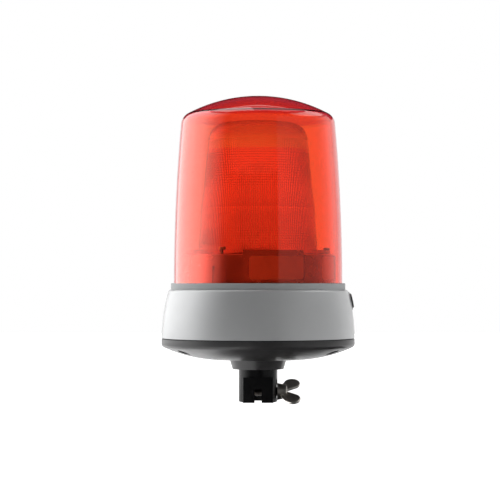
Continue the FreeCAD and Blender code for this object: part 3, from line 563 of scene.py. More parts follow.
def refined(node: str, sharp: float = 30.0) -> Mesh:
    """Copies a CAD node's mesh with smooth curved faces.

    Args:
        node: Name of the node.
        sharp: Angle past which an edge stays sharp.

    Returns:
        The merged and shaded copy, without a material.
    """
    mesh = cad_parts[node].data.copy()
    mesh.materials.clear()
    if mesh.has_custom_normals:
        mesh.attributes.remove(mesh.attributes["custom_normal"])
    return settled(mesh, sharp, outwards=False)


def place(
    name: str, mesh: Mesh, body: Body, node: str | None = None
) -> Object:
    """Makes a piece of the part.

    Args:
        name: Name of the piece.
        mesh: Its mesh, in the part's frame, with its material.
        body: Body that it rides on.
        node: CAD node that it replaces.

    Returns:
        The object.
    """
    mesh.name = name
    piece = linked(name, mesh)
    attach(piece, body.value)
    if node:
        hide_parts(node)
    LOG.info("%s: %d faces on %s", name, len(mesh.polygons), body.value)
    return piece


# Finishes


def new_material(name: str) -> tuple[Material, Graph, Node, NodeSocket]:
    """Starts a material.

    Args:
        name: Name of the material.

    Returns:
        The material, its graph, its shader and the Object coordinates.
    """
    material = bpy.data.materials.new(name)
    material.use_nodes = True
    graph = Graph(material.node_tree)
    shader = material.node_tree.nodes["Principled BSDF"]
    return material, graph, shader, graph.add("ShaderNodeTexCoord").outputs["Object"]


@dataclass(frozen=True)
class Finish:
    """Two colours that mottle, a roughness with smudges and a fine relief.

    Grain is in bumps a metre, depth is the relief's height in metres and bump its strength.
    """

    name: str
    colour: Colour
    shade: Colour
    roughness: float
    grain: float = 2500.0
    depth: float = 0.00004
    bump: float = 0.25
    smudge: float = 0.12
    mottle: float = 0.5

    def surface(
        self, graph: Graph, shader: Node, where: NodeSocket
    ) -> NodeSocket:
        """Gives a shader its roughness and relief.

        Args:
            graph: Graph of the material.
            shader: Its shader.
            where: Coordinates of the grain.

        Returns:
            The mottled colour.
        """
        detail = graph.add("ShaderNodeGroup", {
            "Vector": where, "Grain": self.grain, "Roughness": self.roughness, "Smudge": self.smudge,
            "Colour": self.colour, "Shade": self.shade, "Mottle": self.mottle,
        }, node_tree=SURFACE).outputs
        relief = graph.add("ShaderNodeBump", {
            "Strength": self.bump, "Distance": self.depth, "Height": detail["Height"],
        })
        graph.give(shader, {"Roughness": detail["Roughness"], "Normal": relief.outputs["Normal"]})
        return detail["Colour"]


@dataclass(frozen=True)
class Moulding(Finish):
    """Opaque plastic, rubber, paint or paper, some with a clear coat or a share of metallic flake."""

    coat: float = 0.0
    coat_roughness: float = 0.12
    flake: float = 0.0
    gloss: float = 0.5

    def material(self) -> Material:
        """Makes the material.

        Returns:
            The material, with the finish's name.
        """
        material, graph, shader, where = new_material(self.name)
        graph.give(shader, {
            "Base Color": self.surface(graph, shader, where),
            "Metallic": self.flake,
            "Specular IOR Level": self.gloss,
            "Coat Weight": self.coat,
            "Coat Roughness": self.coat_roughness,
        })
        return material


@dataclass(frozen=True)
class Metal(Finish):
    """Bare or plated metal with fine drawn lines along one direction."""

    grain: float = 4000.0
    depth: float = 0.00003
    bump: float = 0.15
    smudge: float = 0.25
    mottle: float = 0.6
    stretch: tuple[float, float, float] = (1.0, 1.0, 0.05)

    def material(self) -> Material:
        """Makes the material.

        Returns:
            The material, with the finish's name.
        """
        material, graph, shader, where = new_material(self.name)
        drawn = graph.add("ShaderNodeMapping", {"Scale": self.stretch, "Vector": where}).outputs[0]
        graph.give(shader, {"Base Color": self.surface(graph, shader, drawn), "Metallic": 1.0})
        return material


def within(graph: Graph, value: NodeSocket, span: Point) -> NodeSocket:
    """Adds a test that is one where a length in metres lies in a span in millimetres, and zero elsewhere."""
    return graph.math("COMPARE", value, (span[0] + span[1]) / 2 * MM, (span[1] - span[0]) / 2 * MM)


@dataclass(frozen=True)
class PaintedEdgeShade:
    """Painted shade lines: the colour is darkened along the edges of the ring prisms and flutes on a drum
    about the z axis, in place of the dark edges that the clear prisms and flutes make by bending light.

    The pitch of the rings, the wall with flutes and the bands with rings are in millimetres. The width is a
    shade line's share of its pitch.
    """

    flutes: int
    pitch: float
    wall: Point
    bands: tuple[Point, ...]
    width: float = 0.35
    # strengths and colour of the painted shade lines
    flute_shade_strength: float = 0.22
    ring_shade_strength: float = 0.42
    line: Colour = (0.72, 0.40, 0.40)

    def mask(self, graph: Graph, where: NodeSocket) -> NodeSocket:
        """Adds the mask of the painted shade lines.

        Args:
            graph: Graph of the material.
            where: Object coordinates.

        Returns:
            The shade line's strength on a shade line and zero elsewhere.
        """
        height = graph.part(where, "Z")
        turn = graph.math("ARCTAN2", graph.part(where, "Y"), graph.part(where, "X"))
        flute = graph.math("PINGPONG", graph.math("MULTIPLY", turn, self.flutes / math.pi), 1.0)
        line = graph.math("LESS_THAN", flute, self.width)
        total = graph.math("MULTIPLY", line, within(graph, height, self.wall))
        total = graph.math("MULTIPLY", total, self.flute_shade_strength)
        for band in self.bands:
            rise = graph.math("SUBTRACT", height, band[0] * MM)
            ring = graph.math("PINGPONG", graph.math("MULTIPLY", rise, 2 / (self.pitch * MM)), 1.0)
            line = graph.math("LESS_THAN", ring, self.width)
            line = graph.math("MULTIPLY", line, within(graph, height, band))
            total = graph.math("MAXIMUM", total, graph.math("MULTIPLY", line, self.ring_shade_strength))
        return total


@dataclass(frozen=True)
class Clear(Finish):
    """Clear or tinted plastic or glass with slow ripples from moulding.

    The top shade, a darker tint painted into the colour, takes the colour's place above a height in
    millimetres. On the red lens it is painted shade for the darker dome and shoulder, partly standing in for
    the deeper red of a thicker top wall; on the optic it makes the crown a little darker and redder.
    """

    grain: float = 60.0
    depth: float = 0.0003
    bump: float = 0.05
    smudge: float = 0.02
    mottle: float = 0.3
    refraction: float = 1.5
    gleam: Colour = WHITE
    dye: Colour | None = None
    dye_density: float = 450.0
    # painted shade lines on the optic's prism and flute edges
    grid: PaintedEdgeShade | None = None
    # darker top tint, painted shade on the red lens
    top_shade: Colour | None = None
    top_shade_from: float = 0.0

    def material(self) -> Material:
        """Makes the material.

        Returns:
            The material, with the finish's name.
        """
        material, graph, shader, where = new_material(self.name)
        colour = self.surface(graph, shader, where)
        if self.grid is not None:
            # paints the shade lines into the colour
            colour = graph.mixed(self.grid.mask(graph, where), colour, self.grid.line)
        # painted shade: above the height the colour gives way to the darker top tint
        if self.top_shade is not None:
            above = within(graph, graph.part(where, "Z"), (self.top_shade_from, 2 * self.top_shade_from))
            colour = graph.mixed(above, colour, self.top_shade)
        graph.give(shader, {
            "Base Color": colour,
            "Transmission Weight": 1.0,
            "IOR": self.refraction,
            "Specular Tint": self.gleam,
        })
        if self.dye is not None:
            volume = graph.add("ShaderNodeVolumeAbsorption", {"Color": self.dye, "Density": self.dye_density})
            result = material.node_tree.nodes["Material Output"]
            graph.give(result, {"Volume": volume.outputs["Volume"]})
        return material


FINISHES = (
    Clear(
        "red_lens", (0.985, 0.54, 0.15), (0.98, 0.52, 0.14), 0.03, bump=0.02, refraction=1.58,
        # the darker top from 216 mm is painted shade, partly the deeper red of a thicker top wall
        gleam=(1.0, 0.97, 0.9), dye=(0.955, 0.4956, 0.804), top_shade=(0.78, 0.26, 0.12), top_shade_from=216.0,
    ),
    Clear(
        "clear_optic", (1.0, 0.68, 0.90), (0.99, 0.66, 0.88), 0.22, bump=0.01, refraction=1.49,
        # painted shade lines along the prism and flute edges
        grid=PaintedEdgeShade(flutes=144, pitch=2.15, wall=(105.0, 190.0), bands=((107.0, 122.05), (158.15, 188.25))),
        # a little darker and redder crown from 190 mm, painted into the colour
        top_shade=(1.0, 0.92, 0.92), top_shade_from=190.0,
    ),
    Clear("tube_glass", (0.92, 0.93, 0.94), (0.89, 0.90, 0.91), 0.3, refraction=1.12),
    Moulding(
        "grey_housing", (0.42, 0.425, 0.43), (0.395, 0.40, 0.405), 0.40, grain=3200.0, bump=0.15,
        coat=0.5, flake=0.24,
    ),
    Moulding(
        "grey_seal", (0.31, 0.32, 0.325), (0.22, 0.23, 0.235), 0.55, grain=1800.0, depth=0.00008, bump=0.5
    ),
    Moulding(
        "black_pan", (0.022, 0.021, 0.022), (0.034, 0.033, 0.034), 0.34, grain=2600.0, depth=0.00005,
        bump=0.35,
    ),
    Moulding("black_tube", (0.004, 0.004, 0.0045), (0.006, 0.006, 0.006), 0.2, gloss=0.25),
    Moulding("black_rubber", (0.012, 0.012, 0.012), (0.02, 0.02, 0.02), 0.7),
    Moulding("black_screw", (0.012, 0.012, 0.012), (0.025, 0.025, 0.025), 0.3),
    Moulding("grey_cover", (0.78, 0.54, 0.90), (0.70, 0.48, 0.81), 0.26, bump=0.08, flake=0.72),
    Moulding(
        "label_stock", (0.90, 0.64, 0.95), (0.87, 0.61, 0.92), 0.3, grain=1200.0, bump=0.02, flake=0.72
    ),
    Moulding("insulator", (0.10, 0.055, 0.03), (0.14, 0.08, 0.045), 0.45),
    Moulding("lamp_base", (0.70, 0.68, 0.63), (0.6, 0.58, 0.53), 0.5),
    Moulding("board_mask", (0.02, 0.13, 0.05), (0.03, 0.19, 0.07), 0.4, grain=900.0),
    Moulding("can_sleeve", (0.02, 0.02, 0.035), (0.03, 0.03, 0.05), 0.3),
    Moulding("ferrite", (0.05, 0.05, 0.05), (0.08, 0.08, 0.08), 0.6, grain=1500.0),
    Moulding("moulded_case", (0.025, 0.025, 0.025), (0.04, 0.04, 0.04), 0.4),
    Moulding("terminal_case", (0.05, 0.22, 0.09), (0.04, 0.17, 0.07), 0.42),
    Moulding("red_lead", (0.42, 0.02, 0.015), (0.33, 0.015, 0.01), 0.4),
    Moulding("black_lead", (0.02, 0.02, 0.02), (0.03, 0.03, 0.03), 0.4),
    Metal("screw_steel", (0.82, 0.78, 0.73), (0.60, 0.55, 0.50), 0.34),
    # painted shade: a darkened copy of the screw steel for the shank, which sits in the dark bore of the
    # socket
    Metal("screw_steel_shaded", (0.12, 0.11, 0.10), (0.08, 0.07, 0.065), 0.4),
    Metal("zinc_steel", (0.55, 0.55, 0.56), (0.42, 0.42, 0.42), 0.32),
    Metal("contact_brass", (0.66, 0.47, 0.20), (0.5, 0.33, 0.13), 0.3),
    # painted shade: a darkened copy of the brass for the thrust pad in the socket's bore
    Metal("brass_shaded", (0.20, 0.18, 0.14), (0.14, 0.12, 0.09), 0.4),
    Metal("spring_steel", (0.5, 0.5, 0.5), (0.38, 0.38, 0.38), 0.25),
    Metal("electrode", (0.86, 0.86, 0.86), (0.78, 0.78, 0.78), 0.4),
    Metal("reflector", (0.85, 0.85, 0.86), (0.75, 0.75, 0.76), 0.18),
    Metal("copper_wire", (0.62, 0.28, 0.13), (0.45, 0.18, 0.08), 0.3, grain=900.0, stretch=(1.0, 1.0, 8.0)),
    Metal("sink_alloy", (0.2, 0.2, 0.21), (0.14, 0.14, 0.15), 0.45),
)


# Sub-assemblies


@dataclass
class LensAssembly:
    """Red outer lens and the soft collar round its foot."""

    radius: float = 72.433
    wall: float = 3.0
    foot: float = 54.0
    seal_low: float = 70.3
    seal_top: float = 75.8
    apex: float = 236.8
    side_bow: float = 1560.0
    dome_bow: float = 129.0
    shoulder: float = 10.5
    seal_inner: float = 72.733
    seal_outer: float = 74.933
    seal_lip: float = 0.8
    lug_low: float = 62.6
    lug_top: float = 66.0
    lug_reach: float = 2.1
    lug_root: float = 0.2
    lug_width: float = 20.0
    lug_steps: int = 12
    lug_angles: tuple[float, ...] = (30.0, 150.0, 270.0)
    segments: int = 288
    seal_segments: int = 240

    def skin(self, inset: float) -> list[Point]:
        """Lists a skin of the lens from the collar's top to the apex.

        Args:
            inset: Distance inside the outer skin.

        Returns:
            (radius, height) points.
        """
        side_x = self.radius - self.side_bow
        dome_z = self.apex - self.dome_bow
        side_r = self.side_bow - self.shoulder
        dome_r = self.dome_bow - self.shoulder
        dx, dz = -side_x, dome_z - self.seal_top
        span = math.hypot(dx, dz)
        along = (side_r ** 2 - dome_r ** 2 + span ** 2) / (2 * span)
        aside = math.sqrt(side_r ** 2 - along ** 2)
        middle = (
            side_x + (along * dx - aside * dz) / span,
            self.seal_top + (along * dz + aside * dx) / span,
        )
        side_angle = math.degrees(math.atan2(middle[1] - self.seal_top, middle[0] - side_x))
        dome_angle = math.degrees(math.atan2(middle[1] - dome_z, middle[0]))
        points = arc((side_x, self.seal_top), self.side_bow - inset, 0.0, side_angle, SKIN_STEPS)
        points += arc(middle, self.shoulder - inset, side_angle, dome_angle, CURVE_STEPS)[1:]
        points += arc((0.0, dome_z), self.dome_bow - inset, dome_angle, 90.0, SKIN_STEPS)[1:]
        return points

    def lug(self, angle: float) -> Mesh:
        """Makes one twist lug.

        Args:
            angle: Middle of the lug in degrees.

        Returns:
            A closed piece of a ring.
        """
        root, reach = self.radius - self.lug_root, self.radius + self.lug_reach
        corners = [(root, self.lug_low), (reach, self.lug_low), (reach, self.lug_top), (root, self.lug_top)]
        points = []
        for step in range(self.lug_steps + 1):
            turn = math.radians(angle + self.lug_width * (step / self.lug_steps - 0.5))
            points += [spun(r, turn, z) for r, z in corners]
        return capped(points, len(corners), sharp=40.0)

    def build(self, finishes: Materials) -> None:
        """Makes the lens with its lugs, and the collar.

        Args:
            finishes: Materials by name.
        """
        outside = [(self.radius, self.foot)] + self.skin(0.0)
        inside = self.skin(self.wall)
        inside.reverse()
        profile = outside + inside + [(self.radius - self.wall, self.foot)]
        shell = turned(profile, self.segments, finishes["red_lens"], sharp=50.0)
        whole = joined([shell, *(self.lug(angle) for angle in self.lug_angles)])
        place("lens_shell", coated(whole, finishes["red_lens"]), Body.LENS, "lens")
        lip = (self.seal_outer - self.seal_lip, self.seal_top - self.seal_lip)
        collar = [(self.seal_inner, self.seal_low), (self.seal_outer, self.seal_low)]
        collar += arc(lip, self.seal_lip, 0.0, 90.0, EDGE_STEPS) + [(self.seal_inner, self.seal_top)]
        mesh = turned(collar, self.seal_segments, finishes["grey_seal"])
        place("seal_collar", mesh, Body.BASE, "lens_seal")


@dataclass(frozen=True)
class ScrewCircle:
    """Equal round-headed screws with cross recesses, set round the axis.

    The seat is the height under their heads. A tip of half a turn about X makes them point up.
    """

    name: str
    node: str
    count: int
    circle: float
    seat: float
    shank_d: float
    length: float
    head_d: float
    head_height: float
    first: float = 0.0
    tip: float = 0.0
    # the recess as shares of the head's height and width
    recess_depth: float = 0.6
    recess_length: float = 0.62
    recess_width: float = 0.14
    segments: int = 40

    def screw(self, finish: Material) -> Mesh:
        """Makes one screw, head up, its seat at zero height.

        Args:
            finish: Material of the screw.

        Returns:
            Its mesh in metres.
        """
        head_r, shank_r = self.head_d / 2, self.shank_d / 2
        edge = self.head_height / 3
        profile = [(0.0, -self.length), (shank_r, -self.length), (shank_r, 0.0), (head_r, 0.0)]
        profile += arc((head_r - edge, self.head_height - edge), edge, 0.0, 90.0, EDGE_STEPS)
        profile.append((0.0, self.head_height))
        body = turned(profile, self.segments, finish, closed=False)
        deep = self.recess_depth * self.head_height
        long, wide = self.recess_length * self.head_d, self.recess_width * self.head_d
        cutter = bmesh.new()
        for size in ((long, wide), (wide, long)):
            scale = Matrix.Diagonal((size[0] * MM, size[1] * MM, 2 * deep * MM, 1.0))
            bmesh.ops.create_cube(cutter, matrix=Matrix.Translation((0, 0, self.head_height * MM)) @ scale)
        cross = bpy.data.meshes.new("cross")
        cutter.to_mesh(cross)
        cutter.free()
        return settled(carved(body, cross, Carving.CUT), sharp=35.0)

    def build(self, finishes: Materials) -> None:
        """Makes the screws as one piece.

        Args:
            finishes: Materials by name.
        """
        finish = finishes["zinc_steel"]
        mesh = grown(self.screw(finish), SCREW_CIRCLE, {
            "Count": self.count, "Circle": self.circle * MM, "Height": self.seat * MM,
            "First": math.radians(self.first), "Tip": math.radians(self.tip), "Seed": self.count,
            "Finish": finish,
        })
        place(self.name, settled(mesh, sharp=35.0), Body.BASE, self.node)


@dataclass
class OpticAssembly:
    """Clear drum optic with ring prisms outside and flutes inside, and its three screws."""

    flange_low: float = 100.3
    wall_low: float = 103.7
    top: float = 213.7
    flange_r: float = 62.033
    foot_r: float = 51.033
    draw: float = 8.3
    crown_bow: float = 15.5
    wall: float = 3.2
    pitch: float = 2.15
    prism_depth: float = 0.5
    lower_prisms: int = 7
    upper_prisms: int = 14
    lower_plain: float = 3.3
    belt: float = 36.1
    belt_bulge: float = 1.0
    belt_steps: int = 6
    seam_width: float = 1.0
    seam_depth: float = 0.15
    flutes: int = 144
    flute_depth: float = 0.25
    flute_skin: float = 0.1
    segments_a_flute: int = 6
    screws: ScrewCircle = ScrewCircle(
        "optic_fixings", "optic_screws", count=3, circle=58.833, seat=103.7, shank_d=3.0, length=5.4,
        head_d=6.0, head_height=2.6,
    )

    @property
    def crown_low(self) -> float:
        """Height at which the crown begins."""
        return self.top - self.crown_bow

    def outside(self, z: float) -> float:
        """Radius of the plain outside at a height."""
        return self.foot_r - self.draw * (z - self.wall_low) / (self.crown_low - self.wall_low)

    def belt_line(self, foot: float) -> list[Point]:
        """Lists the bulged belt with its seam.

        Args:
            foot: Height of the belt's foot.

        Returns:
            (radius, height) points above the foot.
        """
        half_seam = self.seam_width / self.belt / 2
        shares = [(0.5 - half_seam) * step / self.belt_steps for step in range(1, self.belt_steps + 1)]
        shares += [0.5] + [1.0 - share for share in reversed(shares)] + [1.0]
        points = []
        for share in shares:
            z = foot + self.belt * share
            cut = self.seam_depth if share == 0.5 else 0.0
            points.append((self.outside(z) + 4 * self.belt_bulge * share * (1 - share) - cut, z))
        return points

    def profile(self) -> tuple[list[Point], list[Wall]]:
        """Lists the whole section of the optic.

        Returns:
            The points and the side of the wall of each.
        """
        points = [(self.flange_r, self.flange_low), (self.flange_r, self.wall_low)]
        points.append((self.foot_r, self.wall_low))
        z = self.wall_low + self.lower_plain
        points.append((self.outside(z), z))
        for _ in range(self.lower_prisms):
            z += self.pitch
            points += [(self.outside(z) + self.prism_depth, z), (self.outside(z), z)]
        points += self.belt_line(z)
        z += self.belt
        for _ in range(self.upper_prisms):
            points.append((self.outside(z) + self.prism_depth, z))
            z += self.pitch
            points.append((self.outside(z), z))
        crown = (self.foot_r - self.draw - self.crown_bow, self.crown_low)
        points += arc(crown, self.crown_bow, 0.0, 90.0, CURVE_STEPS) + [(0.0, self.top)]
        points.append((0.0, self.top - self.wall))
        points += arc(crown, self.crown_bow - self.wall, 90.0, 0.0, CURVE_STEPS)
        walls = [Wall.PLAIN] * len(points)
        inner_top = self.foot_r - self.draw - self.wall + self.flute_skin
        inner_low = self.foot_r - self.wall + self.flute_skin
        points += [(inner_top, self.crown_low), (inner_low, self.wall_low), (inner_low, self.flange_low)]
        walls += [Wall.FLUTED, Wall.FLUTED, Wall.PLAIN]
        return points, walls

    def build(self, finishes: Materials) -> None:
        """Makes the optic and the screws of its flange.

        Args:
            finishes: Materials by name.
        """
        points, walls = self.profile()
        mesh = turned(
            points, self.flutes * self.segments_a_flute, finishes["clear_optic"], sharp=18.0,
            flutes=self.flutes, flute_depth=self.flute_depth, walls=walls,
        )
        place("optic_drum", mesh, Body.BASE, "drum_optic")
        self.screws.build(finishes)


@dataclass
class WingScrewAssembly:
    """Wing screw with a threaded shank, a tapered hub and two rimmed wings."""

    hub_face: float = 16.3
    axis_height: float = -17.2
    hub_d: float = 14.5
    hub_tip_d: float = 12.0
    hub_length: float = 8.6
    hub_edge: float = 1.5
    hub_chamfer: float = 0.4
    hub_segments: int = 64
    thread_d: float = 8.0
    thread_pitch: float = 1.25
    thread_depth: float = 0.6
    thread_segments: int = 40
    steps_a_pitch: int = 8
    tip: float = -18.8
    tip_taper: float = 0.5
    pocket_d: float = 3.1
    pocket_depth: float = 4.0
    lobe_r: float = 7.0
    lobe_out: float = 13.0
    lobe_side: float = 12.0
    lobe_steps: int = 40
    root_r: float = 3.4
    root_out: float = 5.0
    root_side: float = 3.0
    lean: float = 61.0
    # (inset from the outline, half thickness) of a wing, from its edge to its dished middle
    section: tuple[Point, ...] = (
        (0.0, 0.0), (0.0, 0.55), (0.25, 1.0), (0.7, 1.28), (1.25, 1.28), (1.75, 1.0), (2.3, 0.82), (3.0, 0.8),
    )

    def outline(self, side: int, inset: float) -> list[Point]:
        """Lists the outline of a wing: two round ends joined by tangents.

        Args:
            side: 1 or -1.
            inset: Distance inside the outline.

        Returns:
            (aside, out) points.
        """
        lobe = (side * self.lobe_side, self.lobe_out)
        root = (side * self.root_side, self.root_out)
        dx, dz = lobe[0] - root[0], lobe[1] - root[1]
        heading = math.degrees(math.atan2(dz, dx))
        spread = math.degrees(math.acos((self.root_r - self.lobe_r) / math.hypot(dx, dz)))
        points = arc(lobe, self.lobe_r - inset, heading + spread, heading - spread, self.lobe_steps)
        return points + arc(
            root, self.root_r - inset, heading - spread, heading + spread - 360.0, CURVE_STEPS
        )

    def wing(self, side: int) -> Mesh:
        """Makes one wing about the upright screw.

        Args:
            side: 1 or -1.

        Returns:
            A closed mesh.
        """
        layers = [(inset, half) for inset, half in reversed(self.section)]
        layers += [(inset, -half) for inset, half in self.section[1:]]
        points = []
        for inset, half in layers:
            points += [(x * MM, half * MM, z * MM) for x, z in self.outline(side, inset)]
        return capped(points, len(points) // len(layers), sharp=40.0)

    def shank(self) -> Mesh:
        """Makes the threaded shank below the hub's face.

        Returns:
            A closed mesh with a pocket in its tip.
        """
        around = self.thread_segments
        turns = [FULL_TURN * step / around for step in range(around)]
        points = []
        for z in (self.tip + self.pocket_depth, self.tip):
            points += [spun(self.pocket_d / 2, turn, z) for turn in turns]
        rows = int(-self.tip / self.thread_pitch * self.steps_a_pitch)
        for row in range(rows + 1):
            z = self.tip - self.tip * row / rows
            full = min(1.0, row / self.steps_a_pitch)
            for step, turn in enumerate(turns):
                share = (z / self.thread_pitch - step / around) % 1.0
                cut = self.thread_depth * abs(2 * share - 1) * full + self.tip_taper * (1.0 - full)
                points.append(spun(self.thread_d / 2 - cut, turn, z))
        return capped(points, around, sharp=25.0)

    def build(self, finishes: Materials) -> None:
        """Makes the screw as one piece and lays it on its axis.

        Args:
            finishes: Materials by name.
        """
        edge = (self.hub_tip_d / 2 - self.hub_edge, self.hub_length - self.hub_edge)
        profile = [(0.0, 0.0), (self.hub_d / 2 - self.hub_chamfer, 0.0), (self.hub_d / 2, self.hub_chamfer)]
        profile += arc(edge, self.hub_edge, 0.0, 90.0, EDGE_STEPS)
        profile.append((0.0, self.hub_length))
        head = turned(profile, self.hub_segments, finishes["screw_steel"], closed=False)
        for side in (1, -1):
            head = carved(head, self.wing(side), Carving.UNITE)
        head = coated(settled(head, sharp=38.0), finishes["screw_steel"])
        # the shank gets the darkened copy of the steel, painted shade for the bore it sits in
        whole = joined([head, coated(self.shank(), finishes["screw_steel_shaded"])])
        spot = Matrix.Translation((self.hub_face * MM, 0.0, self.axis_height * MM))
        along_x = Matrix.Rotation(math.radians(90), 4, "Y")
        whole.transform(spot @ along_x @ Matrix.Rotation(math.radians(-self.lean), 4, "Z"))
        place("wing_screw_form", whole, Body.WING_SCREW, "wing_screw")


@dataclass
class CoverAssembly:
    """Electronics cover with bare label plates in its panels."""

    radius: float = 66.533
    panel_depth: float = 0.8
    plate: float = 0.35
    plate_gap: float = 0.02
    plate_low: float = 78.9
    plate_top: float = 98.3
    corner: float = 2.5
    columns: int = 40
    rows: int = 16
    # (name, middle and width in degrees) of each label
    labels: tuple[tuple[str, float, float], ...] = (
        ("label_wide", -76.1, 40.6),
        ("label_narrow", -24.0, 26.6),
    )

    def label(self, angle: float, width: float) -> Mesh:
        """Makes a curved plate with round corners.

        Args:
            angle: Middle of the plate in degrees.
            width: Its width in degrees.

        Returns:
            A closed mesh.
        """
        low_r = self.radius - self.panel_depth + self.plate_gap
        half_w = math.radians(width / 2) * low_r
        half_h = (self.plate_top - self.plate_low) / 2
        middle_z = (self.plate_top + self.plate_low) / 2
        columns, rows = self.columns, self.rows
        points, faces = [], []
        for radius in (low_r, low_r + self.plate):
            for row in range(rows + 1):
                for column in range(columns + 1):
                    s = half_w * (2 * column / columns - 1)
                    h = half_h * (2 * row / rows - 1)
                    over_s = abs(s) - (half_w - self.corner)
                    over_h = abs(h) - (half_h - self.corner)
                    reach = math.hypot(over_s, over_h)
                    if over_s > 0 and over_h > 0 and reach > self.corner:
                        s -= math.copysign(over_s * (1 - self.corner / reach), s)
                        h -= math.copysign(over_h * (1 - self.corner / reach), h)
                    points.append(spun(radius, math.radians(angle) + s / low_r, middle_z + h))
        across = columns + 1
        layer = across * (rows + 1)
        for quad in lattice(rows + 1, across, loop=False):
            faces += [quad, tuple(layer + i for i in reversed(quad))]
        rim = list(range(columns)) + [columns + across * row for row in range(rows)]
        rim += [layer - 1 - column for column in range(columns)]
        rim += [across * (rows - row) for row in range(rows)]
        for first, second in zip(rim, rim[1:] + rim[:1]):
            faces.append((first, second, layer + second, layer + first))
        return settled(plain_mesh(points, faces), sharp=40.0)

    def build(self, finishes: Materials) -> None:
        """Makes the smoothed cover and its plates.

        Args:
            finishes: Materials by name.
        """
        cover = coated(refined("electronics_cover"), finishes["grey_cover"])
        place("cover_drum", cover, Body.BASE, "electronics_cover")
        for name, angle, width in self.labels:
            place(name, coated(self.label(angle, width), finishes["label_stock"]), Body.BASE)


@dataclass
class BaseAssembly:
    """Housing ring, base pan, gasket, socket tube, lock screw and base screws."""

    screws: ScrewCircle = ScrewCircle(
        "base_fixings", "base_screws", count=3, circle=72.0, seat=22.5, shank_d=4.2, length=31.0,
        head_d=8.8, head_height=3.0, first=90.0, tip=180.0,
    )
    # (piece, CAD node that it replaces, slot)
    housings: tuple[tuple[str, str, str], ...] = (
        ("ring_shell", "housing_ring", "grey_housing"),
        ("pan_shell", "base_pan", "black_pan"),
        ("gasket_band", "base_gasket", "black_rubber"),
        ("socket_form", "socket_tube", "black_tube"),
        ("lock_form", "lock_screw", "black_screw"),
    )

    def build(self, finishes: Materials) -> None:
        """Makes the smoothed housings and the base screws.

        Args:
            finishes: Materials by name.
        """
        for name, node, slot in self.housings:
            place(name, coated(refined(node), finishes[slot]), Body.BASE, node)
        self.screws.build(finishes)


# Finish of each CAD node that keeps its shape
KEPT_NODES = {
    "socket_nut": "zinc_steel",
    "earth_tag": "contact_brass",
    "contact_insulator": "insulator",
    "contact_bush": "contact_brass",
    "contact_plunger": "contact_brass",
    "contact_clip": "spring_steel",
    # darkened brass, painted shade for the bore
    "thrust_pad": "brass_shaded",
    "lamp_socket": "lamp_base",
    "tube_electrodes": "electrode",
    "trigger_wire": "electrode",
    "reflector_disc": "reflector",
    "circuit_board": "board_mask",
    "storage_capacitors": "can_sleeve",
    "transformer_core": "ferrite",
    "transformer_winding": "copper_wire",
    "trigger_coil": "copper_wire",
    "terminal_block": "terminal_case",
    "heat_sink": "sink_alloy",
    "transistor": "moulded_case",
    "supply_lead": "red_lead",
    "earth_lead": "black_lead",
    "flash_leads": "red_lead",
}


@dataclass
class InnerAssembly:
    """What stands inside: the kept CAD nodes, flash tube, board screws and contact spring."""

    glass_sharp: float = 60.0
    spring_low: float = 3.0
    spring_top: float = 10.0
    spring_r: float = 3.15
    wire_d: float = 0.7
    wire_segments: int = 12
    turns: int = 4
    steps_a_turn: int = 40
    travel: float = 2.5
    screws: ScrewCircle = ScrewCircle(
        "board_fixings", "board_screws", count=4, circle=50.0, seat=35.55, shank_d=3.0, length=8.0,
        head_d=5.6, head_height=2.2, first=45.0,
    )

    def spring(self) -> Mesh:
        """Makes the contact spring as a round wire on a helix.

        Returns:
            A closed mesh.
        """
        around, steps = self.wire_segments, self.steps_a_turn * self.turns
        low, high = self.spring_low + self.wire_d / 2, self.spring_top - self.wire_d / 2
        points = []
        for step in range(steps + 1):
            turn = FULL_TURN * self.turns * step / steps
            out = Vector((math.cos(turn), math.sin(turn), 0.0))
            centre = out * self.spring_r + Vector((0.0, 0.0, low + (high - low) * step / steps))
            for side in range(around):
                angle = FULL_TURN * side / around
                offset = out * math.cos(angle) + Vector((0.0, 0.0, math.sin(angle)))
                points.append(tuple((centre + offset * self.wire_d / 2) * MM))
        return capped(points, around, sharp=60.0)

    def build(self, finishes: Materials) -> None:
        """Finishes the inner CAD nodes and makes the pieces that replace some of them.

        Args:
            finishes: Materials by name.
        """
        for node, finish in KEPT_NODES.items():
            coated(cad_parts[node].data, finishes[finish])
            LOG.info("%s: CAD node with finish %s", node, finish)
        glass = coated(refined("flash_tube", self.glass_sharp), finishes["tube_glass"])
        place("flash_glass", glass, Body.BASE, "flash_tube")
        self.screws.build(finishes)
        wire = coated(self.spring(), finishes["spring_steel"])
        coil = place("spring_coil", wire, Body.BASE, "contact_spring")
        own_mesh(coil)


# Studio


def hang(
    name: str, mesh: Mesh, glows: list[float], cloth: Material, hidden: tuple[Ray, ...]
) -> None:
    """Hangs a screen in the studio: a softbox where it glows, a dark flag where it doesn't.

    Args:
        name: Name of the screen.
        mesh: Its mesh.
        glows: Radiance at each point.
        cloth: Material that shines as the glow attribute says.
        hidden: What it is hidden from, besides the camera.
    """
    colours = [level for glow in glows for level in (glow, glow, glow, 1.0)]
    mesh.attributes.new("glow", "FLOAT_COLOR", "POINT").data.foreach_set("color", colours)
    holder = linked(name, coated(mesh, cloth))
    for ray in (Ray.CAMERA, *hidden):
        setattr(holder, ray.value, False)
    LOG.info("%s: screen of %d faces", name, len(mesh.polygons))


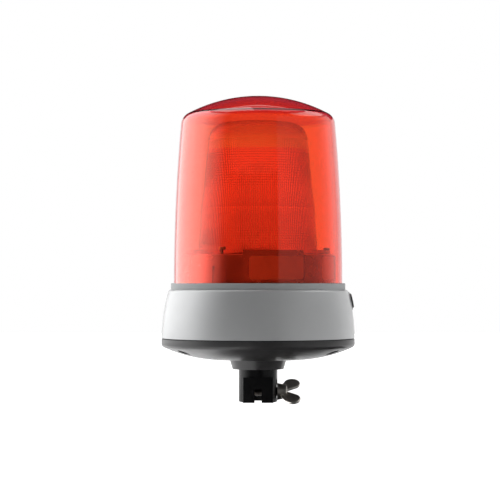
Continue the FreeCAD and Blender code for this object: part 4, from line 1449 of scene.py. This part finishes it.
@dataclass(frozen=True)
class UprightScreen:
    """Curved upright screen round the beacon.

    Stops are azimuths in degrees, from the camera's side towards +X, with the radiance there. Lengths are in
    metres, but the step is in degrees.
    """

    name: str
    stops: tuple[Point, ...]
    low: float
    high: float
    radius: float = 1.9
    hidden: tuple[Ray, ...] = ()
    end_fade: float = 0.1
    step: float = 2.0
    rows: int = 10

    def glow(self, azimuth: float, upward: float) -> float:
        """Radiance at a point of the screen.

        Args:
            azimuth: Azimuth of the point.
            upward: Share of the way from the foot to the top.

        Returns:
            The radiance between the stops, faded towards the foot and the top.
        """
        end = min(1.0, upward / self.end_fade, (1 - upward) / self.end_fade)
        for (first, low), (last, high) in zip(self.stops, self.stops[1:]):
            if azimuth <= last:
                return end * (low + (high - low) * (azimuth - first) / (last - first))
        return end * self.stops[-1][1]

    def build(self, cloth: Material) -> None:
        """Makes the screen, which glows on its inside.

        Args:
            cloth: Material that shines as the glow attribute says.
        """
        points, glows = [], []
        start, end = self.stops[0][0], self.stops[-1][0]
        columns = round((end - start) / self.step)
        for row in range(self.rows + 1):
            for column in range(columns + 1):
                azimuth, upward = start + (end - start) * column / columns, row / self.rows
                turn = math.radians(azimuth)
                x, y = math.sin(turn) * self.radius, -math.cos(turn) * self.radius
                points.append((x, y, self.low + (self.high - self.low) * upward))
                glows.append(self.glow(azimuth, upward))
        quads = lattice(self.rows + 1, columns + 1, loop=False)
        faces = [(first, last, third, second) for first, second, third, last in quads]
        hang(self.name, plain_mesh(points, faces), glows, cloth, self.hidden)


@dataclass(frozen=True)
class LevelScreen:
    """Level screen that faces down, between its lowest and highest x and y. Lengths are in metres."""

    name: str
    low: Point
    high: Point
    level: float
    radiance: float = 0.0
    hidden: tuple[Ray, ...] = (Ray.THROUGH_GLASS,)

    def build(self, cloth: Material) -> None:
        """Makes the screen.

        Args:
            cloth: Material that shines as the glow attribute says.
        """
        (left, near), (right, far) = self.low, self.high
        corners = ((left, near), (left, far), (right, far), (right, near))
        mesh = plain_mesh([(x, y, self.level) for x, y in corners], [(0, 1, 2, 3)])
        hang(self.name, mesh, [self.radiance] * len(corners), cloth, self.hidden)


def seen_ray(graph: Graph) -> NodeSocket:
    """Adds the test for rays that show the surround: from the camera, mirrored or through glass.

    Args:
        graph: Graph of the world or the floor.

    Returns:
        A socket that is 1 for such a ray.
    """
    ray = graph.add("ShaderNodeLightPath").outputs
    shown = graph.math("MAXIMUM", ray["Is Camera Ray"], ray["Is Glossy Ray"])
    return graph.math("MAXIMUM", shown, ray["Is Transmission Ray"])


@dataclass
class Studio:
    """Camera, softboxes, dark flags, pale floor and white surround.

    Lengths are in metres, but the camera's sensor is in millimetres.
    """

    eye: tuple[float, float, float] = (0.0, -1.57, 0.076)
    target: tuple[float, float, float] = (-0.00697, 0.0, 0.1044)
    view_width: float = 0.4305
    sensor_width: float = 36.0
    surround: float = 0.48
    floor_level: float = -0.30
    floor_reach: float = 12.0
    floor_colour: Colour = (0.9, 0.9, 0.9)
    floor_fleck: Colour = (0.86, 0.86, 0.86)
    floor_glow: float = 0.84
    felt_colour: Colour = (0.01, 0.01, 0.01)
    felt_fleck: Colour = (0.016, 0.016, 0.016)
    bounces: int = 40
    glossy_bounces: int = 8
    screens: tuple[UprightScreen | LevelScreen, ...] = (
        LevelScreen(
            "ground_flag", (-0.1, -1.9), (1.0, 0.6), -0.29,
            hidden=(Ray.THROUGH_GLASS, Ray.DIFFUSE, Ray.SHADOW),
        ),
        LevelScreen("top_flag", (-2.6, -2.6), (2.6, 2.6), 3.2),
        LevelScreen("overhead_softbox", (-1.7, -0.5), (-0.15, 2.1), 2.9, 2.6),
        LevelScreen("overhead_fill", (-0.15, -0.5), (1.5, 2.1), 2.9, 0.8),
        UprightScreen(
            "left_softbox",
            (
                (-150.0, 2.2), (-125.0, 2.8), (-108.0, 3.2), (-87.0, 2.9), (-66.0, 1.05), (-48.0, 0.05),
                (-42.0, 0.05),
            ),
            -0.25, 2.6,
        ),
        UprightScreen(
            "right_softbox",
            (
                (27.0, 0.28), (54.0, 0.28), (77.0, 0.28), (94.0, 0.35), (110.0, 0.65), (127.0, 1.1),
                (140.0, 0.8),
            ),
            -0.25, 1.2,
        ),
        UprightScreen(
            "right_top_softbox", ((60.0, 0.8), (85.0, 2.8), (125.0, 2.8), (140.0, 1.0)), 1.2, 2.6,
            hidden=(Ray.THROUGH_GLASS,),
        ),
        UprightScreen(
            "fill_softbox", ((25.0, 3.0), (75.0, 3.0)), -0.2, 0.6, 1.85, (Ray.THROUGH_GLASS, Ray.MIRRORED)
        ),
        UprightScreen("front_flag", ((-60.0, 0.0), (60.0, 0.0)), -0.28, 2.6, 2.0, (Ray.THROUGH_GLASS,)),
        UprightScreen("lens_flag", ((-45.0, 0.0), (27.0, 0.0)), -0.05, 0.5, 1.95, (Ray.MIRRORED,)),
        UprightScreen("back_flag", ((90.0, 0.0), (270.0, 0.0)), 0.62, 2.3, 1.95, (Ray.THROUGH_GLASS,)),
    )

    def camera(self) -> None:
        """Makes the camera at the photograph's viewing angle."""
        data = bpy.data.cameras.new("camera")
        holder = linked("camera", data)
        eye, target = Vector(self.eye), Vector(self.target)
        holder.location = eye
        holder.rotation_euler = (target - eye).to_track_quat("-Z", "Y").to_euler()
        data.sensor_width = self.sensor_width
        data.lens = self.sensor_width * (target - eye).length / self.view_width
        bpy.context.scene.camera = holder

    def surround_world(self) -> None:
        """Makes the surround: white where it is seen, a softer level as light."""
        world = bpy.data.worlds.new("surround")
        bpy.context.scene.world = world
        world.use_nodes = True
        graph = Graph(world.node_tree)
        level = graph.math("MULTIPLY_ADD", seen_ray(graph), 1.0 - self.surround, self.surround)
        graph.give(world.node_tree.nodes["Background"], {"Strength": level, "Color": WHITE})

    def floor(self) -> None:
        """Makes the pale floor, which looks white, keeps the shadow and is open to a look from below."""
        fleck_scale, fleck_share = 40.0, 0.1
        reach = self.floor_reach
        corners = ((-reach, -reach), (reach, -reach), (reach, reach), (-reach, reach))
        mesh = plain_mesh([(x, y, self.floor_level) for x, y in corners], [(0, 1, 2, 3)])
        material, graph, shader, where = new_material("floor_paper")
        fleck = graph.math("MULTIPLY", graph.noise(where, fleck_scale, FLECK_OCTAVES), fleck_share)
        below = graph.add("ShaderNodeNewGeometry").outputs["Backfacing"]
        graph.give(shader, {
            "Base Color": graph.mixed(fleck, self.floor_colour, self.floor_fleck),
            "Roughness": 0.9,
            "Emission Color": WHITE,
            "Emission Strength": graph.math("MULTIPLY", seen_ray(graph), self.floor_glow),
            "Alpha": graph.math("SUBTRACT", 1.0, below),
        })
        linked("floor", coated(mesh, material))

    def cloth(self) -> Material:
        """Makes the screens' cloth.

        Returns:
            A dark felt that shines on its front as the glow attribute says.
        """
        felt_scale = 300.0
        material, graph, shader, where = new_material("screen_cloth")
        felt = graph.noise(where, felt_scale, FLECK_OCTAVES)
        back = graph.add("ShaderNodeNewGeometry").outputs["Backfacing"]
        graph.give(shader, {
            "Base Color": graph.mixed(felt, self.felt_colour, self.felt_fleck),
            "Roughness": 0.95,
            "Specular IOR Level": 0.0,
            "Emission Color": graph.add("ShaderNodeAttribute", attribute_name="glow").outputs["Color"],
            "Emission Strength": graph.math("SUBTRACT", 1.0, back),
        })
        return material

    def build(self) -> None:
        """Sets up camera, light and ground."""
        scene = bpy.context.scene
        scene.view_settings.view_transform = "Standard"
        scene.cycles.max_bounces = self.bounces
        scene.cycles.transmission_bounces = self.bounces
        scene.cycles.glossy_bounces = self.glossy_bounces
        self.camera()
        self.surround_world()
        self.floor()
        cloth = self.cloth()
        for screen in self.screens:
            screen.build(cloth)


def main() -> None:
    """Builds the studio and the part's sub-assemblies in order."""
    logging.basicConfig(level=logging.INFO, format="%(name)s %(message)s")
    Studio().build()
    finishes = {finish.name: finish.material() for finish in FINISHES}
    for assembly in (
        BaseAssembly(), WingScrewAssembly(), InnerAssembly(), CoverAssembly(), OpticAssembly(), LensAssembly()
    ):
        assembly.build(finishes)


if __name__ == "__main__":
    main()
